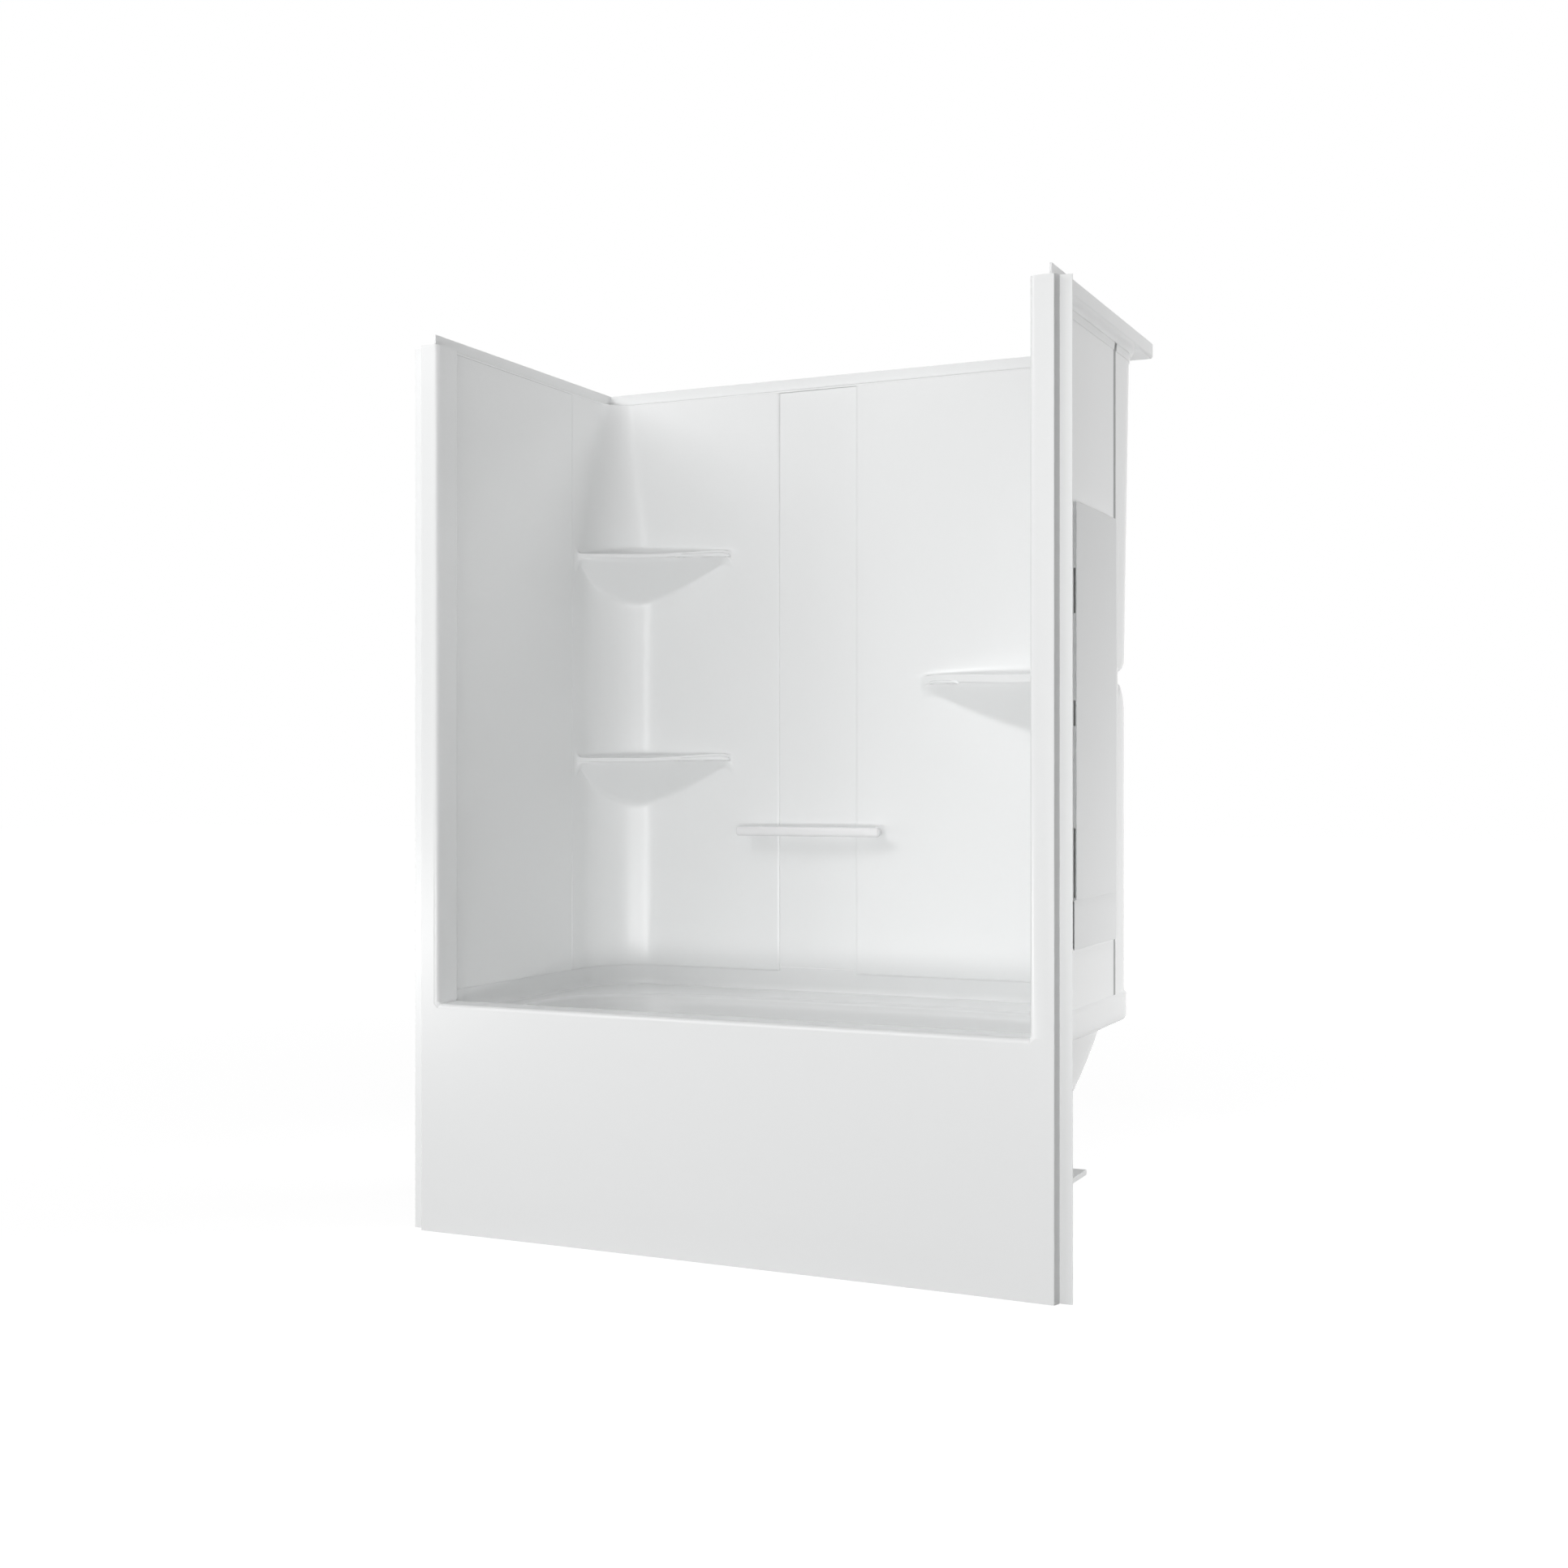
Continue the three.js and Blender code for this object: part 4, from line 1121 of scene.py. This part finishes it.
def rail_ledge():
    """The narrow ledge with its upright flange, as one folded sheet."""
    line = wall_line(FRAME_TOP, 0, WALL_FRONT)
    inner_x = RAIL_HIGH.x - RAIL_SKIN
    inner_y = RAIL_HIGH.y - RAIL_SKIN
    top = FRAME_TOP

    def outer(point):
        """The flange's plan point beside a point of the walls."""
        for corner in (LEFT_CORNER, RIGHT_CORNER):
            middle = Vector(corner.middle(corner.top_radius))
            away = point - middle
            if away.x * corner.side > 0 and away.y > 0:
                grow = min((inner_x - abs(middle.x)) / max(abs(away.x), MM / 100),
                           (inner_y - middle.y) / max(away.y, MM / 100))
                return middle + away * grow
        if abs(point.x) > WALL_X - MM:
            return Vector((math.copysign(inner_x, point.x), point.y))
        return Vector((point.x, inner_y))

    turn = 3 * MM
    edge_round = 3 * MM
    rows = [(0, PANEL_TOP + 0.1 * MM)]
    rows += [(edge_round * by_cosine, top - edge_round * by_sine)
             for by_sine, by_cosine in quarter(3)]
    walls = [(-turn * by_sine, top + turn * by_cosine) for by_sine, by_cosine in quarter(5)]
    walls.append((0, RAIL_HIGH.z))

    def place(column, row):
        point = line[column]
        edge = outer(point)
        across = (edge - point).normalized()
        if row < len(rows):
            shift, height = rows[row]
            return *(point + across * shift), height
        shift, height = walls[row - len(rows)]
        return *(edge + across * shift), height

    piece = sheet("top_rail_ledge", len(line), len(rows) + len(walls), place)
    with editing(piece):
        pick(piece, "EDGE", lambda p: (
            near(p.y, WALL_FRONT) and p.z > top + turn - MM / 2 and abs(p.x) > inner_x - MM))
        pull((0, RAIL_LOW.y - WALL_FRONT, 0))
    face_towards(piece, (0, 0, 1))
    thicken(piece, RAIL_SKIN, even=False)
    return piece


# How far each point of the haunch stands out and its height over the frame's top, in
# millimetres; the shorter one bridges the joint at a side seam
HAUNCH_TOP = [(0, -20.5), (2, -20.5), (8, -17), (11.4, -12), (13.2, -6.5), (13.8, -0.5),
              (0, -0.5), (0, -20.5)]
HAUNCH = [(0, -38), (0.6, -38), (2.6, -24), (2.6, -22), *HAUNCH_TOP[1:-1], (0, -38)]


def rail_haunch(name, outline, profile):
    """A stretch of the moulded band under the ledge that grips the panels' outer faces."""
    snug = PANEL_SKIN + LAP
    section = [(out, FRAME_TOP + height * MM) for out, height in profile]
    lines = [outline(height, snug + out * MM) for out, height in section]

    def place(column, row):
        return *lines[row][column], section[row][1]

    piece = sheet(name, len(lines[0]), len(section), place)
    with editing(piece):
        merge_close()
        pick_all()
        bpy.ops.mesh.fill_holes(sides=len(section))
        pick_all()
        face_outwards()
    return piece


def side_haunch(corner, front, back, profile):
    """A stretch of the haunch along a side panel."""
    def outline(height, out):
        x = corner.side * (WALL_X + out)
        return [Vector((x, front)), Vector((x, back))]

    return rail_haunch("haunch_side", outline, profile)


class TUBSHOWER_OT_top_rail(bpy.types.Operator):
    """Model the ledge over the panels with its nailing flange and haunch"""
    bl_idname = "tub_shower.top_rail"
    bl_label = "Top Rail"

    def execute(self, context):
        width = context.scene.tub_shower_sizes.seam_width
        stretches = []
        for corner in (LEFT_CORNER, RIGHT_CORNER):
            joint = corner.seam - width
            stretches.append(side_haunch(corner, WALL_FRONT, joint, HAUNCH))
            stretches.append(side_haunch(corner, joint + LAP, corner.seam + SEAM_LAP, HAUNCH_TOP))
        stretches.append(rail_haunch("haunch_left", lambda height, out: wall_line(
            height, out, LEFT_SEAM + SEAM_LAP + LAP)[:STRIP_FIRST + 1], HAUNCH))
        stretches.append(rail_haunch("haunch_right", lambda height, out: wall_line(
            height, out, RIGHT_SEAM + SEAM_LAP + LAP)[STRIP_LAST:], HAUNCH))
        piece = join("top_rail_shell", [rail_ledge(), *stretches])
        dress_flat(piece, "acrylic", "top_rail")
        return {"FINISHED"}


# Towel bar

BAR_ROUND = 6.3 * MM


def on_wall(node):
    """Places a turned piece's foot on the front of a node, pointing into the wall."""
    low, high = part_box(node)
    middle = middle_of(node)
    stand = Matrix.Translation((middle.x, low.y, middle.z))
    return stand @ Matrix.Rotation(math.radians(-90), 4, "X"), (high.y - low.y) / MM


def bar_post(node):
    stand, length = on_wall(node)
    post = turned(node + "_turned", [
        (0, 0), (9, 0), (9, length - 9), (9.6, length - 5), (12, length - 2.4),
        (12, length), (0, length)], 48)
    put(post, stand, "bar_acrylic", node, 40)


def bar_bolt(node):
    """A hexagon-headed bolt with its washer, driven from behind."""
    stand, length = on_wall(node)
    neck = length - 3.6
    bolt = turned(node + "_shank", [
        (0, 0), (2.2, 0), (3, 1.4), (3, neck - 0.2), (6, neck - 0.2), (6, neck + 0.8),
        (0, neck + 0.8)], 32, 0.15)
    head = hexagon(node + "_head", 5.4, neck + 0.8, length)
    combine(bolt, head)
    put(bolt, stand, "steel", node, 30)


class TUBSHOWER_OT_towel_bar(bpy.types.Operator):
    """Model the towel bar, its flared posts and the bolts behind the wall"""
    bl_idname = "tub_shower.towel_bar"
    bl_label = "Towel Bar"

    def execute(self, context):
        bar = block("towel_bar_rod", BAR_LOW, BAR_HIGH, BAR_ROUND)
        shade(bar, 60)
        dress(bar, "bar_acrylic", "towel_bar")
        for side in ("left", "right"):
            bar_post("towel_bar_post_" + side)
            bar_bolt("towel_bar_bolt_" + side)
        return {"FINISHED"}


# Boards and timber

# Height bands of the slots in the upper boards' front edges
BOARD_SLOTS = [(765 * MM, 905 * MM), (1111 * MM, 1162 * MM), (1338 * MM, 1429 * MM)]
SLOT_HALF, SLOT_DEPTH, SLOT_END = 2 * MM, 45 * MM, 3 * MM
REBATE, FACING = 6 * MM, 1.2 * MM
# Radii in millimetres of the holes for the drain and for a bolt
DRAIN_HOLE, BOLT_HOLE = 45, 3.5


def cut_block(piece, low, high):
    combine(piece, block("cutter", low, high, 0.2 * MM), "DIFFERENCE")


def backing_board(node, slots):
    """A backing board with its front edge rebated, and slotted where the core is open."""
    low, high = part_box(node)
    piece = block(node + "_sheet", low, high, 1.0 * MM)
    cut_block(piece, (low.x + FACING, low.y - REBATE, low.z - MM),
              (high.x - FACING, low.y + REBATE, high.z + MM))
    middle = (low.x + high.x) / 2
    for foot, top in slots:
        cut_block(piece, (middle - SLOT_HALF, low.y, foot),
                  (middle + SLOT_HALF, low.y + SLOT_DEPTH, top))
    dress_flat(piece, "coated_board", node)


class TUBSHOWER_OT_boards(bpy.types.Operator):
    """Model the backing boards on the side walls and the board under the bath"""
    bl_idname = "tub_shower.boards"
    bl_label = "Boards"

    def execute(self, context):
        for side in ("left", "right"):
            backing_board(side + "_backing_board_upper", BOARD_SLOTS)
            low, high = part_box(side + "_backing_board_lower")
            slot = (low.z + SLOT_END, high.z - SLOT_END)
            backing_board(side + "_backing_board_lower", [slot])
        board = block("base_board_sheet", *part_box("base_board"))
        bore(board, DRAIN_HOLE, 100, 125, AT_DRAIN)
        dress_flat(board, "coated_board", "base_board")
        return {"FINISHED"}


class TUBSHOWER_OT_timber(bpy.types.Operator):
    """Model the runners and rails under the bath and the blocks behind the towel bar"""
    bl_idname = "tub_shower.timber"
    bl_label = "Timber"

    def execute(self, context):
        for node in ("runner_front", "runner_middle", "runner_back", "rim_support_rail",
                     "apron_foot_rail", "towel_bar_block_left", "towel_bar_block_right"):
            piece = block(node + "_sawn", *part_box(node), 1.4 * MM)
            if node.startswith("towel_bar_block"):
                stand, _ = on_wall(node.replace("block", "bolt"))
                bore(piece, BOLT_HOLE, 0, 40, stand)
            dress_flat(piece, "timber", node)
        return {"FINISHED"}


# Waste and overflow

# Profiles and lengths are millimetres of radius and height above the floor.

AT_DRAIN = Matrix.Translation((DRAIN.x, DRAIN.y, 0))
AT_RISER = Matrix.Translation((RISER.x, RISER.y, 0))
ALONG_X = Matrix.Rotation(math.radians(90), 4, "Y")
WASTE_LEVEL = Matrix.Translation((0, 0, 84 * MM))
# The overflow stands in the well's left end, square to its slope
OVERFLOW = Vector((-627.8 * MM, DRAIN.y, 400 * MM))
END_SLOPE = math.atan(9 / 95)
AT_OVERFLOW = Matrix.Translation(OVERFLOW) @ Matrix.Rotation(-END_SLOPE, 4, "Y") @ ALONG_X
SCREW_APART = 22 * MM
AT_SCREWS = [AT_OVERFLOW @ Matrix.Translation((0, side * SCREW_APART, 0))
             for side in (LEFT, RIGHT)]
PIPE_BORE, PIPE_OUTSIDE, PIPE_SOCKET = 16.5, 19, 19.3


def crossed(piece, start, low, high, rounding, operation="UNION"):
    """Join or cut with a bar at the start angle and one a quarter turn on."""
    for angle in (start, start + 90):
        bar = move(eased_bar("crossbar", low, high, rounding),
                   Matrix.Rotation(math.radians(angle), 4, "Z"))
        combine(piece, bar, operation)


def strainer():
    piece = turned("drain_strainer_turned", [
        (20, 90), (23, 90), (23, 124.9), (36, 124.9), (36.5, 125.5), (35.6, 126.6), (34, 127.3),
        (32, 127.4), (27.5, 127.1), (23.8, 125.8), (21.2, 123), (20, 118.5), (20, 90)], 96, 0.25)
    crossed(piece, 0, (-21, -2.5, 90), (21, 2.5, 94), 0.6)
    combine(piece, rod("hub", 7, 89.9, 94.1))
    bore(piece, 3.3, 80, 100, steps=32)
    put(piece, AT_DRAIN, "chrome", "drain_strainer")


def stopper():
    """The domed plug that lifts, with its sleeve and its seal."""
    plug = turned("drain_stopper_turned", [
        (0, 137.4), (5.5, 137.4), (6.6, 138), (8.6, 137.9), (9.4, 137.3), (14, 136.9),
        (20, 135.7), (24, 134.2), (26, 132.9), (27, 131.4), (26.6, 130.6), (6, 130.6),
        (6, 100), (3.5, 100), (3.5, 126), (0, 126)], 96, 0.2)
    put(plug, AT_DRAIN, "chrome", "drain_stopper", body=STOPPER)
    seal = turned("stopper_seal_turned", [
        (6.4, 128.2), (8, 127.9), (22.4, 127.8), (24, 128.6), (24, 129.5), (22.4, 130.2),
        (6.4, 130.2), (6.4, 128.2)], 96, 0.15)
    put(seal, AT_DRAIN, "rubber", "stopper_seal", body=STOPPER)


def collared(radius, start, end, collar):
    """A branch with a collar of one millimetre more from a place to one of its ends."""
    branch = rod("branch", radius, start, end)
    combine(branch, rod("collar", radius + 1, *collar))
    return branch


def shoe():
    """The cup under the drain, with its branch towards the riser."""
    cup = turned("drain_shoe_turned", [
        (0, 58), (24, 58), (27, 59.2), (28, 62), (28, 108), (30, 110), (36, 110), (36, 115.6),
        (23.5, 115.6), (23.5, 66), (0, 64)], 64, 0.4)
    combine(cup, move(collared(22, -52, -20, (-52, -44)), WASTE_LEVEL @ ALONG_X))
    bore(cup, PIPE_SOCKET, -60, -26, WASTE_LEVEL @ ALONG_X)
    bore(cup, PIPE_BORE, -40, -10, WASTE_LEVEL @ ALONG_X)
    bore(cup, 23.5, 66, 120)
    put(cup, AT_DRAIN, "pipework", "drain_shoe")


def tee():
    piece = turned("waste_tee_turned", [
        (10, 50), (23, 50), (23, 58), (21.8, 59.5), (21.8, 108.5), (23, 110), (23, 118),
        (10, 118), (10, 50)], 64, 0.3)
    combine(piece, move(collared(21, 5, 44, (36, 44)), WASTE_LEVEL @ ALONG_X))
    bore(piece, PIPE_SOCKET, 40, 130)
    bore(piece, PIPE_SOCKET, 13, 50, WASTE_LEVEL @ ALONG_X)
    put(piece, AT_RISER, "pipework", "waste_tee")


def elbow():
    """The overflow's elbow: a flange on the well's end and a socket on the riser."""
    piece = turned("overflow_elbow_turned", [
        (0, 348), (23, 348), (23, 357), (21.8, 358.5), (21.8, 376), (23, 378), (23, 401),
        (21.5, 409), (17, 415.4), (10, 417.6), (0, 418)], 64, 0.3)
    move(piece, AT_RISER)
    neck = rod("elbow_neck", 22, -40, -7)
    combine(neck, rod("elbow_flange", 35, -9.5, -5.7))
    combine(piece, move(neck, AT_OVERFLOW))
    bore(piece, PIPE_SOCKET, 340, 378, AT_RISER)
    bore(piece, PIPE_BORE, 370, 412, AT_RISER)
    bore(piece, 18, -44, 0, AT_OVERFLOW)
    for place in AT_SCREWS:
        bore(piece, 2.4, -14, 2, place, 24)
    with editing(piece):
        merge_close(0.02 * MM)
        bpy.ops.mesh.fill_holes(sides=0)
        face_outwards()
    put(piece, Matrix(), "pipework", "overflow_elbow")


def overflow_plate():
    piece = turned("overflow_plate_turned", [
        (0, 14.5), (18, 14), (27, 13), (33.5, 11.6), (36.6, 10.4), (38.8, 8.8), (40, 6.9),
        (39.8, 5.5), (36, 5.5), (34, 8.5), (0, 10)], 96, 0.2)
    for middle in (-6, 6):
        combine(piece, eased_bar("slot", (-14, middle - 2, 0), (14, middle + 2, 20), 1.9),
                "DIFFERENCE")
    for side in (LEFT, RIGHT):
        bore(piece, 2.5, 0, 20, Matrix.Translation((0, side * SCREW_APART, 0)), 32)
    put(piece, AT_OVERFLOW, "chrome", "overflow_plate")


def overflow_screw(place, node):
    """A countersunk screw with a crossed recess."""
    piece = turned(node + "_turned", [
        (0, -11), (1.2, -11), (2.1, -9), (2.1, 14.2), (4.5, 14.2), (4.3, 15.2), (3.6, 16.1),
        (2.2, 16.6), (0, 16.7)], 32, 0.1)
    crossed(piece, 45, (-2.6, -0.45, 15.4), (2.6, 0.45, 18), 0.05, "DIFFERENCE")
    put(piece, place, "steel", node)


def slip_nut(node):
    """A six-sided nut with a round collar and its bore."""
    low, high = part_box(node)
    foot, top = low.z / MM, high.z / MM
    piece = hexagon(node + "_shell", 27, foot, top - 3, 0.9 * MM)
    combine(piece, rod("nut_collar", 22.6, top - 4, top))
    bore(piece, PIPE_SOCKET, foot - 1, top + 1)
    put(piece, AT_RISER, "pipework", node, 30)


class TUBSHOWER_OT_waste(bpy.types.Operator):
    """Model the drain, its lifting stopper, the overflow and the pipes between them"""
    bl_idname = "tub_shower.waste"
    bl_label = "Waste and Overflow"

    def execute(self, context):
        for make in (strainer, stopper, shoe, tee, elbow, overflow_plate):
            make()
        for place, side in zip(AT_SCREWS, ("left", "right")):
            overflow_screw(place, "overflow_screw_" + side)
        slip_nut("slip_nut_riser")
        slip_nut("slip_nut_tailpiece")
        post = turned("stopper_post_turned", [
            (0, 86), (2.4, 86), (3, 86.8), (3, 94.3), (5, 94.3), (5, 98), (3, 98), (3, 121.4),
            (2.4, 122), (0, 122)], 32, 0.15)
        put(post, AT_DRAIN, "steel", "stopper_post")
        level = Matrix.Translation((0, RISER.y, 0)) @ WASTE_LEVEL @ ALONG_X
        for node, make, inner, outer, foot, top, place, finish in (
            ("drain_gasket", "_turned", 25.5, 36, 115.9, 118.7, AT_DRAIN, "rubber"),
            ("overflow_gasket", "_turned", 27, 35, -5.3, -3.6, AT_OVERFLOW, "rubber"),
            ("overflow_pipe", "_drawn", PIPE_BORE, PIPE_OUTSIDE, 106, 370, AT_RISER, "pipework"),
            ("tailpiece", "_drawn", PIPE_BORE, PIPE_OUTSIDE, 4, 63, AT_RISER, "pipework"),
            ("waste_pipe", "_drawn", PIPE_BORE, PIPE_OUTSIDE, -662, -507, level, "pipework"),
        ):
            put(tube(node + make, inner, outer, foot, top), place, finish, node)
        return {"FINISHED"}


# Studio

FLOOR_GREY = (0.25, 0.25, 0.25, 1)
# The glow grows from beside the object to the distance where the floor meets the world
FLOOR_GLOW = {"From Min": 2.0, "From Max": 6.0, "To Min": 0.9, "To Max": 1.0}


def lamp(name, place, target, size, power):
    light = bpy.data.lights.new(name, "AREA")
    light.shape = "RECTANGLE"
    light.size, light.size_y = size
    light.energy = power
    holder = bpy.data.objects.new(name, light)
    holder.location = place
    holder.rotation_euler = (Vector(target) - Vector(place)).to_track_quat("-Z", "Y").to_euler()
    bpy.context.scene.collection.objects.link(holder)


def seen_or_mirrored(tree):
    """1 on rays that see, mirror or pass on the backdrop, 0 on those that only light."""
    factor = 0
    for ray in ("Is Camera Ray", "Is Glossy Ray", "Is Transmission Ray"):
        path = add_node(tree, "LightPath", ray, {})
        factor = add_node(tree, "Math", "Value", {0: factor, 1: path}, operation="MAXIMUM")
    return factor


def bare_tree(owner):
    """The empty node tree of a world or a material."""
    owner.use_nodes = True
    owner.node_tree.nodes.clear()
    return owner.node_tree


def white_world(strength):
    """Even light all round, plain white where it is seen or mirrored."""
    world = bpy.data.worlds.new("studio_world")
    bpy.context.scene.world = world
    tree = bare_tree(world)
    level = add_node(tree, "MapRange", "Result",
                     {"Value": seen_or_mirrored(tree), "To Min": strength, "To Max": 1.0})
    light = add_node(tree, "Background", "Background",
                     {"Color": (1, 1, 1, 1), "Strength": level})
    add_node(tree, "OutputWorld", None, {"Surface": light})


def floor_finish():
    """Pale floor that meets the white background and still takes the object's shadow."""
    material = bpy.data.materials.new("studio_floor")
    tree = bare_tree(material)
    plain = add_node(tree, "BsdfDiffuse", "BSDF", {"Color": FLOOR_GREY})
    where = add_node(tree, "TexCoord", "Object", {})
    away = add_node(tree, "VectorMath", "Value", {0: where}, operation="LENGTH")
    level = add_node(tree, "MapRange", "Result", {"Value": away, **FLOOR_GLOW})
    glow = add_node(tree, "Emission", "Emission", {"Strength": level})
    both = add_node(tree, "AddShader", "Shader", {0: plain, 1: glow})
    choose = add_node(tree, "MixShader", "Shader",
                      {"Fac": seen_or_mirrored(tree), 1: plain, 2: both})
    add_node(tree, "OutputMaterial", None, {"Surface": choose})
    return material


# Each lamp's place, where it points and its size
HIGH, MIDDLE, LOW, BESIDE = (0.3, 0, 1.2), (0, 0, 1.0), (0, 0, 0.4), (0.7, 0, 0.6)
LAMPS = {
    "back_steep": ((2.2, 2.2, 4.4), HIGH, (2.0, 2.0)),
    "back_right": ((4.6, 2.4, 1.5), HIGH, (3.0, 3.0)),
    "back_low": ((2.4, 1.2, 0.4), BESIDE, (1.6, 0.6)),
    "overhead": ((0, -3.2, 4.8), MIDDLE, (4.0, 2.0)),
    "front_high": ((-2.4, -3.8, 3.8), MIDDLE, (3.0, 2.0)),
    "front_strip": ((0, -5.2, 1.6), HIGH, (1.0, 3.2)),
    "right_strip": ((2.0, -4.8, 1.6), HIGH, (0.6, 3.2)),
    "apron_left": ((-4.6, -3.6, 0.24), LOW, (3.0, 0.4)),
    "apron_right": ((1.6, -4.6, 0.24), LOW, (4.0, 0.4)),
}
# The photo's side in its own pixels, and how far the camera's picture is shifted down in them
PHOTO_SIDE, SHIFT = 1932, -4.31
CAMERA = Vector((1827.22, -3558.69, 1001.22)) * MM


class TUBSHOWER_OT_stage(bpy.types.Operator):
    """Set the floor, the lights and the camera"""
    bl_idname = "tub_shower.stage"
    bl_label = "Stage"

    def execute(self, context):
        studio = context.scene.tub_shower_studio
        clear()
        bpy.ops.mesh.primitive_plane_add(size=60, location=(0, 0, 0))
        floor = claim("studio_floor")
        floor.data.materials.append(floor_finish())
        white_world(studio.ambient)
        for name, (place, target, size) in LAMPS.items():
            lamp(name + "_light", place, target, size, getattr(studio, name))
        data = bpy.data.cameras.new("studio_camera")
        data.sensor_width = 36
        data.lens = studio.lens
        data.shift_y = SHIFT / PHOTO_SIDE
        camera = bpy.data.objects.new("studio_camera", data)
        camera.location = CAMERA + Vector((0, FRONT, 0))
        camera.rotation_euler = (math.radians(90), 0, studio.turn)
        context.scene.collection.objects.link(camera)
        context.scene.camera = camera
        context.scene.view_settings.view_transform = "Standard"
        return {"FINISHED"}


OPERATORS = (
    TUBSHOWER_OT_front_frame, TUBSHOWER_OT_tub_basin, TUBSHOWER_OT_wall_panels,
    TUBSHOWER_OT_corner_panels, TUBSHOWER_OT_top_rail, TUBSHOWER_OT_towel_bar,
    TUBSHOWER_OT_boards, TUBSHOWER_OT_timber, TUBSHOWER_OT_waste, TUBSHOWER_OT_stage,
)


class TUBSHOWER_PT_panel(bpy.types.Panel):
    """Sidebar panel with the unit's pieces and settings"""
    bl_idname = "TUBSHOWER_PT_panel"
    bl_label = "Tub and Shower Unit"
    bl_space_type = "VIEW_3D"
    bl_region_type = "UI"
    bl_category = "Tub and Shower"

    def draw(self, context):
        for operator in OPERATORS:
            self.layout.operator(operator.bl_idname)
        for name in ("tub_shower_sizes", "tub_shower_colours", "tub_shower_studio"):
            group = getattr(context.scene, name)
            box = self.layout.box()
            for key in group.__annotations__:
                box.prop(group, key)


GROUPS = {
    "tub_shower_sizes": TubShowerSizes,
    "tub_shower_colours": TubShowerColours,
    "tub_shower_studio": TubShowerStudio,
}
CLASSES = (*GROUPS.values(), *OPERATORS, TUBSHOWER_PT_panel)


def register():
    for part in CLASSES:
        bpy.utils.register_class(part)
    for name, group in GROUPS.items():
        setattr(bpy.types.Scene, name, PointerProperty(type=group))


def unregister():
    for name in GROUPS:
        delattr(bpy.types.Scene, name)
    for part in reversed(CLASSES):
        bpy.utils.unregister_class(part)


def main():
    register()
    bpy.ops.tub_shower.front_frame()
    bpy.ops.tub_shower.tub_basin()
    bpy.ops.tub_shower.wall_panels()
    bpy.ops.tub_shower.corner_panels()
    bpy.ops.tub_shower.top_rail()
    bpy.ops.tub_shower.towel_bar()
    bpy.ops.tub_shower.boards()
    bpy.ops.tub_shower.timber()
    bpy.ops.tub_shower.waste()
    bpy.ops.tub_shower.stage()


if __name__ == "__main__":
    main()
